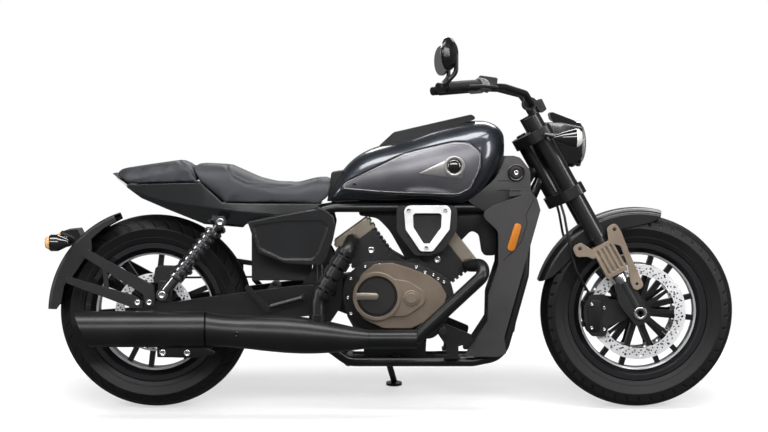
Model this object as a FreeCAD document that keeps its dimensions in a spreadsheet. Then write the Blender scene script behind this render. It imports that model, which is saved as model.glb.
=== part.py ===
import FreeCAD, Part
import math
import os

import Sketcher

# Cruiser motorcycle with a V-twin engine, parked on its side stand.
# Drawn upright: +X forward, +Y to the rider's left, +Z up, the floor at z = 0.
# Every finished piece is then leaned onto the stand by one placement.

V = FreeCAD.Vector
doc = FreeCAD.newDocument("cruiser")
sheet = doc.addObject("Spreadsheet::Sheet", "Sizes")

# Driving sizes in millimetres and degrees
SIZES = [
    ("wheel_base", 1520), ("lean_angle", 8), ("rake_angle", 29),
    ("front_tyre_radius", 304), ("rear_tyre_radius", 304),
    ("front_tyre_width", 130), ("rear_tyre_width", 176), ("crown_radius", 100),
    ("rim_seat_radius", 205), ("rim_flange_radius", 217), ("rim_inner_radius", 178),
    ("front_rim_width", 100), ("rear_rim_width", 142), ("hub_radius", 38),
    ("front_hub_width", 116), ("rear_hub_width", 150), ("spoke_depth", 26), ("spoke_width", 20),
    ("axle_radius", 12), ("axle_socket_radius", 8), ("axle_socket_depth", 36), ("running_gap", 0.1), ("seat_gap", 0.3),
    ("front_disc_radius", 150), ("front_disc_band", 34), ("rear_disc_radius", 122), ("rear_disc_band", 28),
    ("disc_thickness", 5), ("disc_gap", 5), ("fork_spacing", 210), ("fork_tube_radius", 27),
    ("fork_slider_radius", 21.5), ("fork_collar_height", 268), ("fork_top_height", 702),
    ("steering_offset", 52), ("stem_radius", 15), ("head_tube_radius", 27),
    ("lower_clamp_height", 432), ("upper_clamp_height", 640), ("clamp_thickness", 34),
    ("bar_radius", 11), ("bar_half_width", 400), ("bar_end_x", 140), ("bar_end_z", 1004),
    ("grip_radius", 17), ("grip_length", 125),
    ("swingarm_pivot_x", -262), ("swingarm_pivot_z", 370), ("swingarm_gap", 256),
    ("swingarm_thickness", 28), ("frame_tube_radius", 15), ("frame_rail_spacing", 156),
    ("tank_floor_z", 648), ("tank_front_x", 338), ("tank_rear_x", -204), ("tank_half_width", 158),
    ("tank_panel_thickness", 5), ("engine_width", 250), ("cover_thickness", 34),
    ("cylinder_width", 130), ("rear_cylinder_angle", 36), ("front_cylinder_angle", 52),
    ("muffler_radius", 55.6), ("muffler_y", -222), ("muffler_z", 262.6), 
    ("pipe_radius", 26), ("shield_radius", 31), ("belt_width", 22), ("belt_thickness", 5),
    ("belt_y", 111), ("rear_pulley_radius", 92), ("front_pulley_radius", 34), ("front_pulley_x", -206),
    ("stand_radius", 10), ("stand_pin_radius", 6),
    ("radiator_width", 152.4), ("shock_y", 172), ("shock_coil_radius", 24), ("peg_radius", 11),
    ("mirror_radius", 50), ("mirror_y", 425), ("fender_gap", 17), ("fender_thickness", 5),
    ("hugger_radius", 331), ("hugger_width", 202),
]
for row, (name, value) in enumerate(SIZES, start=1):
    sheet.set("A%d" % row, name)
    sheet.set("B%d" % row, str(value))
    sheet.setAlias("B%d" % row, name)
doc.recompute()
size = {name: float(sheet.get(name)) for name, value in SIZES}

lean = math.radians(size["lean_angle"])
rake = math.radians(size["rake_angle"])
FRONT_AXLE = V(size["wheel_base"] / 2, 0, size["front_tyre_radius"])
REAR_AXLE = V(-size["wheel_base"] / 2, 0, size["rear_tyre_radius"])
LEANED = FreeCAD.Placement(V(0, 0, 0), FreeCAD.Rotation(V(1, 0, 0), -size["lean_angle"]))
FORK = FreeCAD.Placement(FRONT_AXLE, FreeCAD.Rotation(V(0, 1, 0), -size["rake_angle"]))
nodes = []


def finish(piece, label, place=FreeCAD.Placement()):
    """Name a finished piece and note where it stands before the lean."""
    piece.Label = label
    piece.Placement = place
    nodes.append(piece)
    return piece


def bind(thing, **properties):
    for name, formula in properties.items():
        thing.setExpression(name, formula)
    return thing


def rounded(corners):
    """Closed outline of lines and arcs from (x, y, corner radius) points."""
    count = len(corners)
    ends = []
    for i in range(count):
        before, here, after = (V(*corners[j % count][:2], 0) for j in (i - 1, i, i + 1))
        back = (before - here).normalize()
        ahead = (after - here).normalize()
        radius = corners[i][2] if len(corners[i]) > 2 else 0
        half = math.acos(max(-1, min(1, back * ahead))) / 2
        if radius and math.pi / 2 - half > 0.01:
            run = radius / math.tan(half)
            middle = here + (back + ahead).normalize() * (radius / math.sin(half) - radius)
            ends.append((here + back * run, middle, here + ahead * run))
        else:
            ends.append((here, None, here))
    shapes = []
    for i in range(count):
        start, middle, end = ends[i]
        if middle:
            shapes.append(Part.Arc(start, middle, end))
        following = ends[(i + 1) % count][0]
        if (following - end).Length > 0.01:
            shapes.append(Part.LineSegment(end, following))
    return shapes


def new_body(name):
    return doc.addObject("PartDesign::Body", name)


def sketch(body, role, shapes, offset=0):
    """Sketch on one of the body's own planes, moved along the plane's normal."""
    plane = [item for item in body.Origin.OriginFeatures if item.Role == role][0]
    drawing = body.newObject("Sketcher::SketchObject", "outline")
    drawing.AttachmentSupport = (plane, [""])
    drawing.MapMode = "FlatFace"
    drawing.AttachmentOffset = FreeCAD.Placement(V(0, 0, offset), FreeCAD.Rotation())
    for shape in shapes:
        drawing.addGeometry(shape)
    for i in range(len(shapes)):
        drawing.addConstraint(Sketcher.Constraint("Block", i))
    return drawing


def circle(x, y, radius):
    return Part.Circle(V(x, y, 0), V(0, 0, 1), radius)


def pad(body, drawing, length, symmetric=True):
    feature = body.newObject("PartDesign::Pad", "pad")
    feature.Profile = drawing
    feature.SideType = "Symmetric" if symmetric else "One side"
    bind(feature, Length=length)
    return feature


def pocket(body, drawing):
    feature = body.newObject("PartDesign::Pocket", "pocket")
    feature.Profile = drawing
    feature.Type = "ThroughAll"
    feature.SideType = "Symmetric"
    return feature


def revolve(body, drawing, axis="H_Axis"):
    feature = body.newObject("PartDesign::Revolution", "revolution")
    feature.Profile = drawing
    feature.ReferenceAxis = (drawing, [axis])
    feature.Angle = 360
    return feature


def ring_pattern(body, feature, drawing, count):
    pattern = body.newObject("PartDesign::PolarPattern", "ring")
    pattern.Originals = [feature]
    pattern.Axis = (drawing, ["N_Axis"])
    pattern.Angle = 360
    pattern.Occurrences = count
    body.Tip = pattern
    return pattern


def plate(name, corners, thickness, y):
    """Flat piece in the bike's side view, its middle at y."""
    body = new_body(name)
    pad(body, sketch(body, "XZ_Plane", rounded(corners), -y), thickness)
    return body


def turned(name, points):
    """Solid of revolution about Y from (y, radius) points."""
    body = new_body(name)
    revolve(body, sketch(body, "YZ_Plane", rounded(points)))
    return body


def rod(start, end, radius, name="rod"):
    """Round bar between two points, its radius a formula of the sheet."""
    piece = doc.addObject("Part::Cylinder", name)
    way = end - start
    bind(piece, Radius=radius)
    piece.Height = way.Length
    piece.Placement = FreeCAD.Placement(start, FreeCAD.Rotation(V(0, 0, 1), way))
    return piece


def fused(pieces):
    whole = doc.addObject("Part::MultiFuse", "joined")
    whole.Shapes = pieces
    return whole


def group(pieces):
    whole = doc.addObject("Part::Compound", "pair")
    whole.Links = pieces
    return whole


def removed(base, tool):
    rest = doc.addObject("Part::Cut", "cut")
    rest.Base = base
    rest.Tool = tool
    return rest


def shared(name, shape, outline):
    """What a loft and an outline from the side have in common."""
    both = doc.addObject("Part::Common", name)
    both.Base = shape
    both.Tool = outline
    return both


def shape_piece(shape, name="run"):
    piece = doc.addObject("Part::Feature", name)
    piece.Shape = shape
    return piece


def bent(points, radius, bend, name="tube"):
    """Round tube along straight runs joined by tangent arcs."""
    edges = []
    start = points[0]
    for i in range(1, len(points) - 1):
        back = (points[i - 1] - points[i]).normalize()
        ahead = (points[i + 1] - points[i]).normalize()
        half = back.getAngle(ahead) / 2
        shorter = min((points[i - 1] - points[i]).Length, (points[i + 1] - points[i]).Length)
        arc_radius = min(bend, 0.45 * shorter * math.tan(half))
        run = arc_radius / math.tan(half)
        middle = points[i] + (back + ahead).normalize() * (arc_radius / math.sin(half) - arc_radius)
        edges.append(Part.LineSegment(start, points[i] + back * run).toShape())
        edges.append(Part.Arc(points[i] + back * run, middle, points[i] + ahead * run).toShape())
        start = points[i] + ahead * run
    edges.append(Part.LineSegment(start, points[-1]).toShape())
    path = Part.Wire(edges)
    section = Part.Wire(Part.makeCircle(radius, points[0], points[1] - points[0]))
    return shape_piece(path.makePipeShell([section], True, False), name)


def mirrored(piece):
    twin = doc.addObject("Part::Mirroring", "twin")
    twin.Source = piece
    twin.Normal = V(0, 1, 0)
    twin.Base = V(0, 0, 0)
    return twin


def polar(centre, radius, angle):
    """Point in the side view at a radius and an angle in degrees from forward."""
    return (centre.x + radius * math.cos(math.radians(angle)), centre.z + radius * math.sin(math.radians(angle)))


def box(name, corner, length, width, height):
    piece = doc.addObject("Part::Box", name)
    piece.Length = length
    piece.Width = width
    piece.Height = height
    piece.Placement = FreeCAD.Placement(corner, FreeCAD.Rotation())
    return piece


def both_sides(piece):
    return [piece, mirrored(piece)]


def loft(name, sections):
    """Body through closed smooth outlines; each is (x, [(y, z) points])."""
    body = new_body(name)
    drawings = []
    for x, points in sections:
        curve = Part.BSplineCurve()
        curve.interpolate([V(y, z, 0) for y, z in points], PeriodicFlag=True)
        drawings.append(sketch(body, "YZ_Plane", [curve], x))
    feature = body.newObject("PartDesign::AdditiveLoft", "loft")
    feature.Profile = drawings[0]
    feature.Sections = drawings[1:]
    return body


def ruled(name, sections):
    """Body with straight flanks between cross-sections; each is (x, [(y, z) corners])."""
    body = new_body(name)
    drawings = [sketch(body, "YZ_Plane", rounded([(y, z) for y, z in corners]), x) for x, corners in sections]
    feature = body.newObject("PartDesign::AdditiveLoft", "loft")
    feature.Profile = drawings[0]
    feature.Sections = drawings[1:]
    feature.Ruled = True
    return body


def crowned(x, half, top, low):
    """Cross-section of a cushion at x: a crowned top, round shoulders and upright sides."""
    right = [(half, low), (half, top - 34), (half * 0.93, top - 16), (half * 0.72, top - 5), (half * 0.35, top - 1)]
    return (x, right + [(-y, z) for y, z in reversed(right)])


def shell(x, half, high, crease, low):
    """Cross-section of the tail at x: sides that lean out to a crease and tuck in below it."""
    right = [(half * 0.66, low), (half * 0.9, (low + crease) / 2), (half, crease), (half * 0.94, high)]
    return (x, right + [(-y, z) for y, z in reversed(right)])


def pillow(half_width, low, high, lift=0.0, square=0.72):
    """Eight points of a cushion-like cross-section; lift raises its widest line."""
    middle = (low + high) / 2 + lift
    return [(0, low), (half_width * square, low + (middle - low) * 0.12), (half_width, middle),
            (half_width * square, high - (high - middle) * 0.16), (0, high),
            (-half_width * square, high - (high - middle) * 0.16), (-half_width, middle),
            (-half_width * square, low + (middle - low) * 0.12)]


# Wheels: rubber tyre, cast twelve-spoke wheel, brake discs and drive pulley
def tyre(label, centre, radius, width, rim_width):
    crown = size["crown_radius"]
    reach = width / 2 * 0.92
    steps = 3
    points = []
    for i in range(-steps, steps + 1):
        y = reach * i / steps
        points.append((y, radius - crown + math.sqrt(crown ** 2 - y ** 2)))
    seat = size["rim_seat_radius"] + size["seat_gap"]
    flange = size["rim_flange_radius"] + 3
    bead = rim_width / 2 - 9.5
    side = [(width / 2, (radius + flange) / 2), (rim_width / 2 + 2, flange), (bead, flange), (bead, seat)]
    outline = points + side + [(-y, z) for y, z in reversed(side)]
    body = new_body(label + "_body")
    revolve(body, sketch(body, "YZ_Plane", rounded(outline)))
    return finish(body, label, FreeCAD.Placement(centre, FreeCAD.Rotation()))


def cast_wheel(label, centre, rim_width, hub_width, first_angle):
    inner = size["rim_inner_radius"]
    seat = size["rim_seat_radius"]
    flange = size["rim_flange_radius"]
    half = size["spoke_width"] / 2
    body = new_body(label + "_body")
    spokes = []
    for turn in (-11, 11):
        angle = math.radians(first_angle + turn)
        along = V(math.cos(angle), math.sin(angle), 0)
        across = V(-along.y, along.x, 0)
        root = across * (half * 0.4 * (1 if turn > 0 else -1))
        spokes.append([root - across * half, root + across * half,
                       along * (inner + 8) + across * half * 0.8, along * (inner + 8) - across * half * 0.8])
    drawing = sketch(body, "XZ_Plane", rounded([(p.x, p.y) for p in spokes[0]]))
    first = pad(body, drawing, "Sizes.spoke_depth")
    ring_pattern(body, first, drawing, 6)
    drawing = sketch(body, "XZ_Plane", rounded([(p.x, p.y) for p in spokes[1]]))
    second = pad(body, drawing, "Sizes.spoke_depth")
    ring_pattern(body, second, drawing, 6)
    edge = rim_width / 2
    rim = [(-edge, flange), (-edge + 7, flange), (-edge + 9, seat), (edge - 9, seat), (edge - 7, flange),
           (edge, flange), (edge, seat - 4), (edge * 0.62, inner + 2), (16, inner), (-16, inner),
           (-edge * 0.62, inner + 2), (-edge, seat - 4)]
    revolve(body, sketch(body, "YZ_Plane", rounded(rim)))
    reach = hub_width / 2
    hub = size["hub_radius"]
    bore = size["axle_radius"] + size["running_gap"]
    revolve(body, sketch(body, "YZ_Plane", rounded(
        [(-reach, 0), (-reach, hub * 0.8), (-reach + 14, hub), (reach - 14, hub), (reach, hub * 0.8), (reach, 0)])))
    pocket(body, sketch(body, "XZ_Plane", [circle(0, 0, bore)]))
    return finish(body, label, FreeCAD.Placement(centre, FreeCAD.Rotation()))


def brake_disc(name, centre, radius, band, y, hub):
    """Perforated band held at ten lugs by a slender carrier on the hub."""
    body = new_body(name)
    inner = radius - band
    pad(body, sketch(body, "XZ_Plane", [circle(0, 0, hub + 22), circle(0, 0, hub)], -y), "Sizes.disc_thickness")
    arm = [(hub + 16, -9, 2), (hub + 16, 9, 2), (inner - 12, 5, 2), (inner + 5, 9, 3), (inner + 5, -9, 3),
           (inner - 12, -5, 2)]
    drawing = sketch(body, "XZ_Plane", rounded(arm), -y)
    ring_pattern(body, pad(body, drawing, "Sizes.disc_thickness"), drawing, 10)
    pad(body, sketch(body, "XZ_Plane", [circle(0, 0, radius), circle(0, 0, inner)], -y), "Sizes.disc_thickness")
    drawing = sketch(body, "XZ_Plane", [circle(-9, radius - band * 0.3, 3.6), circle(9, radius - band * 0.72, 3.6)])
    ring_pattern(body, pocket(body, drawing), drawing, 18)
    body.Placement = FreeCAD.Placement(centre, FreeCAD.Rotation())
    return body


front_disc_y = size["front_hub_width"] / 2 + size["disc_thickness"] / 2
tyre("front_tyre", FRONT_AXLE, size["front_tyre_radius"], size["front_tyre_width"], size["front_rim_width"])
cast_wheel("front_wheel", FRONT_AXLE, size["front_rim_width"], size["front_hub_width"], 3.6)
finish(group([brake_disc("disc_right", FRONT_AXLE, size["front_disc_radius"], size["front_disc_band"],
                         -front_disc_y, size["axle_radius"] + 8),
              brake_disc("disc_left", FRONT_AXLE, size["front_disc_radius"], size["front_disc_band"],
                         front_disc_y, size["axle_radius"] + 8)]), "front_discs")
rear_disc_y = -(size["rear_hub_width"] / 2 + size["disc_thickness"] / 2)
tyre("rear_tyre", REAR_AXLE, size["rear_tyre_radius"], size["rear_tyre_width"], size["rear_rim_width"])
cast_wheel("rear_wheel", REAR_AXLE, size["rear_rim_width"], size["rear_hub_width"], 13.3)
finish(group([brake_disc("disc_rear", REAR_AXLE, size["rear_disc_radius"], size["rear_disc_band"],
                         rear_disc_y, size["axle_radius"] + 8)]), "rear_disc")
belt_inner = size["belt_y"] - size["belt_width"] / 2
belt_outer = size["belt_y"] + size["belt_width"] / 2
bore = size["axle_radius"] + size["running_gap"]
pulley_rim = size["rear_pulley_radius"]
pulley = turned("rear_pulley", [
    (size["rear_hub_width"] / 2, bore), (size["rear_hub_width"] / 2, 34), (belt_inner, 60), (belt_inner, pulley_rim),
    (belt_outer, pulley_rim), (belt_outer, pulley_rim - 12), (belt_outer - 12, 60), (belt_outer - 12, bore)])
finish(pulley, "rear_pulley", FreeCAD.Placement(REAR_AXLE, FreeCAD.Rotation()))

# Fork: upside-down tubes in two clamps, sliders, axle and the caliper lugs
fork_y = size["fork_spacing"] / 2
leg = V(0, -fork_y, 0)
outer_legs = rod(leg + V(0, 0, size["fork_collar_height"]), leg + V(0, 0, size["fork_top_height"]),
                 "Sizes.fork_tube_radius", "fork_outer")
finish(group(both_sides(outer_legs)), "fork_tubes", FORK)
slider = rod(leg + V(0, 0, 20), leg + V(0, 0, size["fork_collar_height"] - size["seat_gap"]),
             "Sizes.fork_slider_radius", "slider")
lug = plate("axle_lug", [(-30, -34, 14), (26, -34, 20), (27, 60, 10), (22, 118, 6), (-24, 118, 6), (-44, 60, 10)],
            "Sizes.fork_slider_radius * 2 - 4", -fork_y)
axle_end = fork_y + 30
axle = rod(V(0, -axle_end, 0), V(0, axle_end, 0), "Sizes.axle_radius", "axle")
socket = rod(V(0, -axle_end - 1, 0), V(0, -axle_end + size["axle_socket_depth"], 0), "Sizes.axle_socket_radius", "socket")
finish(removed(fused(both_sides(slider) + both_sides(lug) + [axle]), group(both_sides(socket))), "fork_sliders", FORK)


def clamp(height, name):
    """Yoke that grips both fork tubes and carries the stem."""
    reach = size["fork_tube_radius"] + 11
    back = size["steering_offset"]
    body = new_body(name)
    outline = [(reach, -fork_y - reach, 26), (reach, -fork_y + reach, 16), (-8, -fork_y + reach + 30, 30),
               (-8, fork_y - reach - 30, 30), (reach, fork_y - reach, 16), (reach, fork_y + reach, 26),
               (-reach, fork_y + reach, 26), (-back - 34, 34, 30), (-back - 34, -34, 30),
               (-reach, -fork_y - reach, 26)]
    pad(body, sketch(body, "XY_Plane", rounded(outline), height), "Sizes.clamp_thickness")
    pocket(body, sketch(body, "XY_Plane", [circle(0, -fork_y, size["fork_tube_radius"])]))
    pocket(body, sketch(body, "XY_Plane", [circle(0, fork_y, size["fork_tube_radius"])]))
    return body


stem_low = V(-size["steering_offset"], 0, size["lower_clamp_height"])
stem_high = V(-size["steering_offset"], 0, size["upper_clamp_height"])
finish(fused([clamp(size["lower_clamp_height"], "lower_clamp"), clamp(size["upper_clamp_height"], "upper_clamp"),
              rod(stem_low, stem_high + V(0, 0, 24), "Sizes.stem_radius", "stem")]), "triple_clamps", FORK)

# Forged stays that carry the front fender: a slotted block round each leg, an ear behind it and a strut ahead
SLEEVE = 58
stay_y = fork_y + SLEEVE / 2

def on_leg(forward, up, radius=4):
    """Corner of a piece that follows the fork's slope, from the front axle."""
    spot = FORK.multVec(V(forward, 0, up))
    return (spot.x, spot.z, radius)


block = [on_leg(-37, 141), on_leg(32, 141), on_leg(32, 248), on_leg(-37, 248)]
ear = [on_leg(-34, 205, 8), on_leg(-60, 236, 10), on_leg(-90, 250, 14), on_leg(-86, 284, 14), on_leg(-56, 284, 12),
       on_leg(-34, 244, 6)]
strut = [on_leg(22, 246, 2), on_leg(38, 286, 14), on_leg(70, 286, 14), on_leg(70, 252, 12), on_leg(62, 190, 8),
         on_leg(54, 104, 8), on_leg(52, 68, 14), on_leg(18, 68, 14), on_leg(20, 100, 10), on_leg(38, 150, 6),
         on_leg(47, 215, 6), on_leg(31, 232, 2)]
sleeve_bore = rod(V(0, -fork_y, 100), V(0, -fork_y, 300), "Sizes.fork_slider_radius + Sizes.seat_gap", "sleeve_bore")
sleeve_bore.Placement = FORK.multiply(sleeve_bore.Placement)
stay_slots = []
for across in (-25, -10, 5, 20):
    slot = [on_leg(across - 4, 154, 3.6), on_leg(across + 4, 154, 3.6), on_leg(across + 4, 236, 3.6),
            on_leg(across - 4, 236, 3.6)]
    stay_slots.append(plate("stay_slot", slot, "12", -stay_y))
bolt_spots = [on_leg(-70, 267), on_leg(54, 268), on_leg(35, 86)]
bolt_holes = [rod(V(x, -stay_y - 5, z), V(x, -stay_y + 4, z), "5", "bolt_hole") for x, z, radius in bolt_spots]
stay_parts = [plate("stay", block, "58", -fork_y), plate("ear", ear, "10", -stay_y + 5), plate("strut", strut, "9", -stay_y + 4.6)]
stay = removed(fused(stay_parts), group(stay_slots + bolt_holes + [sleeve_bore]))
fender_half = size["front_tyre_width"] / 2 + 9
spacers = [rod(V(x, -fender_half - size["seat_gap"], z), V(x, -stay_y + 3, z), "7", "spacer")
           for x, z, radius in bolt_spots[:2]]
finish(group(both_sides(fused([stay] + spacers))), "fork_brackets")

# Front fender: a curved shell about the tyre, held by the stays
front_inner = size["front_tyre_radius"] + size["fender_gap"]
FENDER_START = 77
FENDER_END = 163


def shell_ring(name, inner, width, thickness, start, end, drop):
    """Part of a ring about Y, from start to end degrees, with turned-down edges."""
    half = width / 2
    profile = [(-half, inner - drop), (-half, inner - 6, 14), (-half + 26, inner + thickness, 30),
               (half - 26, inner + thickness, 30), (half, inner - 6, 14), (half, inner - drop),
               (half - 4, inner - drop), (half - 4, inner - 8, 10), (half - 28, inner, 26),
               (-half + 28, inner, 26), (-half + 4, inner - 8, 10), (-half + 4, inner - drop)]
    body = new_body(name)
    feature = revolve(body, sketch(body, "YZ_Plane", rounded(profile)))
    feature.Angle = end - start
    return body


def about_axle(axle, start):
    """Turn a ring drawn from straight up so that it begins at the angle start."""
    return FreeCAD.Placement(axle, FreeCAD.Rotation(V(0, 1, 0), 90 - start))


fender = shell_ring("fender_shell", front_inner, fender_half * 2, size["fender_thickness"],
                    FENDER_START, FENDER_END, 60)
fender.Placement = about_axle(FRONT_AXLE, FENDER_END)
trim_edge = ((162, -6), (158, -28), (147, -47), (133, -50), (113, -50), (95, -53), (82, -37), (77, -18))
trim = [polar(FRONT_AXLE, front_inner + size["fender_thickness"] + 8, angle) + (4,) for angle in range(76, 166, 8)]
trim += [polar(FRONT_AXLE, front_inner + reach, angle) + (12,) for angle, reach in trim_edge]
finish(shared("fender_outline", fender, plate("fender_trim", trim, "2 * Sizes.front_tyre_width", 0)), "front_fender")


# Front brake calipers, on the rear of each leg, straddling the disc
caliper_corners = [(-168, -30, 16), (-150, -76, 14), (-104, -76, 10), (-88, -30, 10), (-90, 40, 10), (-108, 56, 10),
                   (-148, 54, 14), (-170, 18, 16)]
caliper = new_body("caliper")
caliper_y = front_disc_y
pad(caliper, sketch(caliper, "XZ_Plane", rounded(caliper_corners), caliper_y), "Sizes.disc_thickness + 42")
slot = new_body("caliper_slot")
slot_y = front_disc_y
pad(slot, sketch(slot, "XZ_Plane", [circle(0, 0, size["front_disc_radius"] + size["disc_gap"])], slot_y),
    "Sizes.disc_thickness + 2 * Sizes.disc_gap")
arm = new_body("caliper_arm")
lug_inner = fork_y - (size["fork_slider_radius"] * 2 - 4) / 2
pad(arm, sketch(arm, "XZ_Plane", rounded([(-112, -50, 6), (-112, 44, 6), (-40, 34, 10), (-22, 6, 8), (-40, -24, 10)]),
                lug_inner - size["seat_gap"] - 6), "12")
caliper_body = removed(fused([caliper, arm]), slot)
finish(group(both_sides(caliper_body)), "front_calipers", FreeCAD.Placement(FRONT_AXLE, FreeCAD.Rotation()))

# Hose on each side from the lower clamp down behind the leg to the caliper
HOSE = [V(512, -104, 648), V(524, -112, 606), V(534, -112, 550), V(560, -102, 440), V(592, -78, 384), V(606, -72, 361)]
clamp_room = clamp(size["lower_clamp_height"], "clamp_room")
clamp_room.Placement = FORK
hose = removed(bent(HOSE, 4, 40, "hose"), clamp_room)
finish(group(both_sides(hose)), "brake_hoses")

# Handlebar with its risers and clamp, grips and levers
axis_top = FORK.multVec(V(-12, 0, size["fork_top_height"] - 26))
BAR = [V(size["bar_end_x"], -size["bar_half_width"], size["bar_end_z"]), V(245, -312, 1012), V(330, -214, 1008),
       V(400, -128, 988), V(420, -88, 957), V(420, 0, 957)]
right_bar = bent(BAR, size["bar_radius"], 36, "bar")
riser_foot = FORK.multVec(V(16, -52, size["upper_clamp_height"] + size["clamp_thickness"] / 2 + size["seat_gap"]))
riser = rod(riser_foot, FORK.multVec(V(16, -52, 736)), "14", "riser")
bar_clamp = rod(V(420, -70, 957), V(420, -34, 957), "21", "bar_clamp")
whole_bar = fused(both_sides(right_bar) + both_sides(riser) + both_sides(bar_clamp))
finish(whole_bar, "handlebar")
instrument = [(441.3, 968, 2), (456, 974, 4), (472, 940, 5), (456, 928, 5), (441.3, 944, 2)]
finish(plate("instrument_case", instrument, "108", 0), "instrument")
grip_way = (BAR[1] - BAR[0]).normalize()
grip = rod(BAR[0] + grip_way * 8, BAR[0] + grip_way * (8 + size["grip_length"]), "Sizes.grip_radius", "grip")
switch = rod(BAR[0] + grip_way * 140, BAR[0] + grip_way * 182, "21", "switch_box")
lever = bent([V(304, -318, 1004), V(288, -345, 1006), V(254, -382, 1008), V(214, -418, 1006)], 5, 60, "lever")
reservoir = new_body("reservoir")
pad(reservoir, sketch(reservoir, "XZ_Plane", rounded(
    [(247, 1021, 6), (303, 1006, 6), (306, 1034, 6), (250, 1042, 6)]), 288), "44")
perch = rod(BAR[0] + grip_way * 168, V(301, -319, 1004), "9", "perch")
bar_room = bent([BAR[0] - grip_way * 4] + BAR[1:], size["bar_radius"] + size["seat_gap"], 36, "bar_room")
controls = fused([grip, switch, perch, lever])
right_controls = removed(fused([controls, reservoir]), bar_room)
left_controls = mirrored(removed(controls, bar_room))
finish(group([right_controls, left_controls]), "hand_controls")

# Round mirrors on stems at the bar ends
mirror_side = new_body("mirror_shell")
revolve(mirror_side, sketch(mirror_side, "XY_Plane", rounded(
    [(0, 0), (size["mirror_radius"], 0), (size["mirror_radius"], 8, 5), (30, 24, 24), (0, 28)])), "V_Axis")
mirror_side.Placement = FreeCAD.Placement(V(150, -size["mirror_y"], 1104), FreeCAD.Rotation(V(0, 0, 1), -90 - 25))
mirror_stem = bent([BAR[0] - grip_way * 10, V(150, -size["mirror_y"], 1020),
                    V(176, -size["mirror_y"], 1048), V(176, -size["mirror_y"], 1104)], 7, 30, "mirror_stem")
bar_cap = rod(BAR[0] - grip_way * 22, BAR[0] - grip_way * size["seat_gap"], "15", "cap")
finish(group(both_sides(fused([mirror_side, mirror_stem, bar_cap]))), "mirrors")

# Headlamp bowl between the fork tubes and two bullet indicators
lamp = new_body("lamp_bowl")
revolve(lamp, sketch(lamp, "XY_Plane", rounded(
    [(0, 0), (0, 40, 24), (30, 70, 24), (74, 75, 8), (96, 62, 8), (108, 46, 12), (108, 0)])), "H_Axis")
lamp.Placement = FreeCAD.Placement(V(483, 0, 832), FreeCAD.Rotation())
cowl = [(478, 936, 8), (556, 906, 4), (588, 884, 4), (586, 872, 2), (556, 880, 2), (520, 884, 4), (486, 908, 6)]
lamp_stem = rod(FORK.multVec(V(size["seat_gap"] - 8, 0, 630)), FORK.multVec(V(70, 0, 630)), "10", "lamp_stem")
finish(fused([lamp, plate("lamp_cowl", cowl, "104", 0), lamp_stem]), "headlamp")
blinker = new_body("blinker")
revolve(blinker, sketch(blinker, "XY_Plane", rounded(
    [(0, 0), (0, 5, 4), (26, 17, 30), (69, 29, 3), (78, 28, 4), (89, 18, 8), (89, 0)])), "H_Axis")
blinker.Placement = FreeCAD.Placement(V(485, -172, 851), FreeCAD.Rotation())
stalk_root = FORK.multVec(V(8, -fork_y - size["fork_tube_radius"] - 11 - size["seat_gap"],
                            size["upper_clamp_height"] - 6))
stalk_bend = stalk_root - V(0, 14, 0)
blinker_stalk = fused([rod(stalk_root, stalk_bend - V(0, 4, 0), "7", "stalk_root"),
                       rod(stalk_bend, V(506, -170, 853), "7", "stalk")])
finish(group(both_sides(fused([blinker, blinker_stalk]))), "front_indicators")

# Frame of round tubes: head tube, top rails, down tubes, cradle and seat rails
head_low = FORK.multVec(V(-size["steering_offset"], 0, size["lower_clamp_height"] + 18))
head_high = FORK.multVec(V(-size["steering_offset"], 0, size["upper_clamp_height"] - 18))
tube = size["frame_tube_radius"]
rail = size["frame_rail_spacing"] / 2
rail_z = size["tank_floor_z"] - tube - size["seat_gap"]
head_way = (head_high - head_low).normalize()
seat_rail = [V(-330, -rail, 606), V(-560, -rail, 630), V(-640, -rail, 654)]
top_rail = bent([head_low + head_way * 92 - V(16, 6, 0), V(360, -rail, rail_z), V(-190, -rail, rail_z)] + seat_rail,
                tube, 80, "top_rail")
upright = 80
CRADLE = 96
beside = size["radiator_width"] / 2 + size["seat_gap"] + tube
down_tube = bent([head_low + head_way * 56 - V(14, 6, 0), V(413, -45, 632), V(408, -beside, 582),
                  V(400, -beside, 420), V(330, -CRADLE, 168),
                  V(240, -CRADLE, 150), V(-150, -CRADLE, 150), V(-240, -upright, 214), V(-240, -upright, 400),
                  V(-244, -upright, rail_z - 4)], tube, 70, "down_tube")
head_tube = rod(head_low, head_high, "Sizes.head_tube_radius", "head_tube")
head_bore = rod(head_low + (head_low - head_high) * 0.1, head_high + (head_high - head_low) * 0.1,
                "Sizes.stem_radius + Sizes.running_gap", "head_bore")
shock_top = V(-545, -size["shock_y"], 592)
EYE_HALF = 12
shock_bar_end = size["shock_y"] - EYE_HALF - size["seat_gap"]
cross = [rod(V(-150, -CRADLE, 150), V(-150, CRADLE, 150), "Sizes.frame_tube_radius", "cross_low"),
         rod(V(-330, -rail, 606), V(-330, rail, 606), "Sizes.frame_tube_radius", "cross_seat"),
         rod(V(shock_top.x, -shock_bar_end, shock_top.z), V(shock_top.x, shock_bar_end, shock_top.z), "12", "shock_bar"),
         rod(V(shock_top.x, -rail, shock_top.z), V(shock_top.x, -rail, 630), "12", "shock_post_right"),
         rod(V(shock_top.x, rail, shock_top.z), V(shock_top.x, rail, 630), "12", "shock_post_left")]
pivot = V(size["swingarm_pivot_x"], 0, size["swingarm_pivot_z"])
pivot_lug = plate("pivot_lug", [(-262, 630, 4), (-214, 630, 4), (-214, 520, 20), (-168, 436, 20), (-168, 330, 20),
                                (-214, 262, 20), (-252, 262, 10), (pivot.x - 32, pivot.z - 26, 24),
                                (pivot.x - 32, pivot.z + 26, 24), (-262, 440, 20)], "16", -upright)
pivot_hole = rod(pivot + V(0, -200, 0), pivot + V(0, 200, 0), "20 + Sizes.seat_gap", "pivot_hole")
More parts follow.
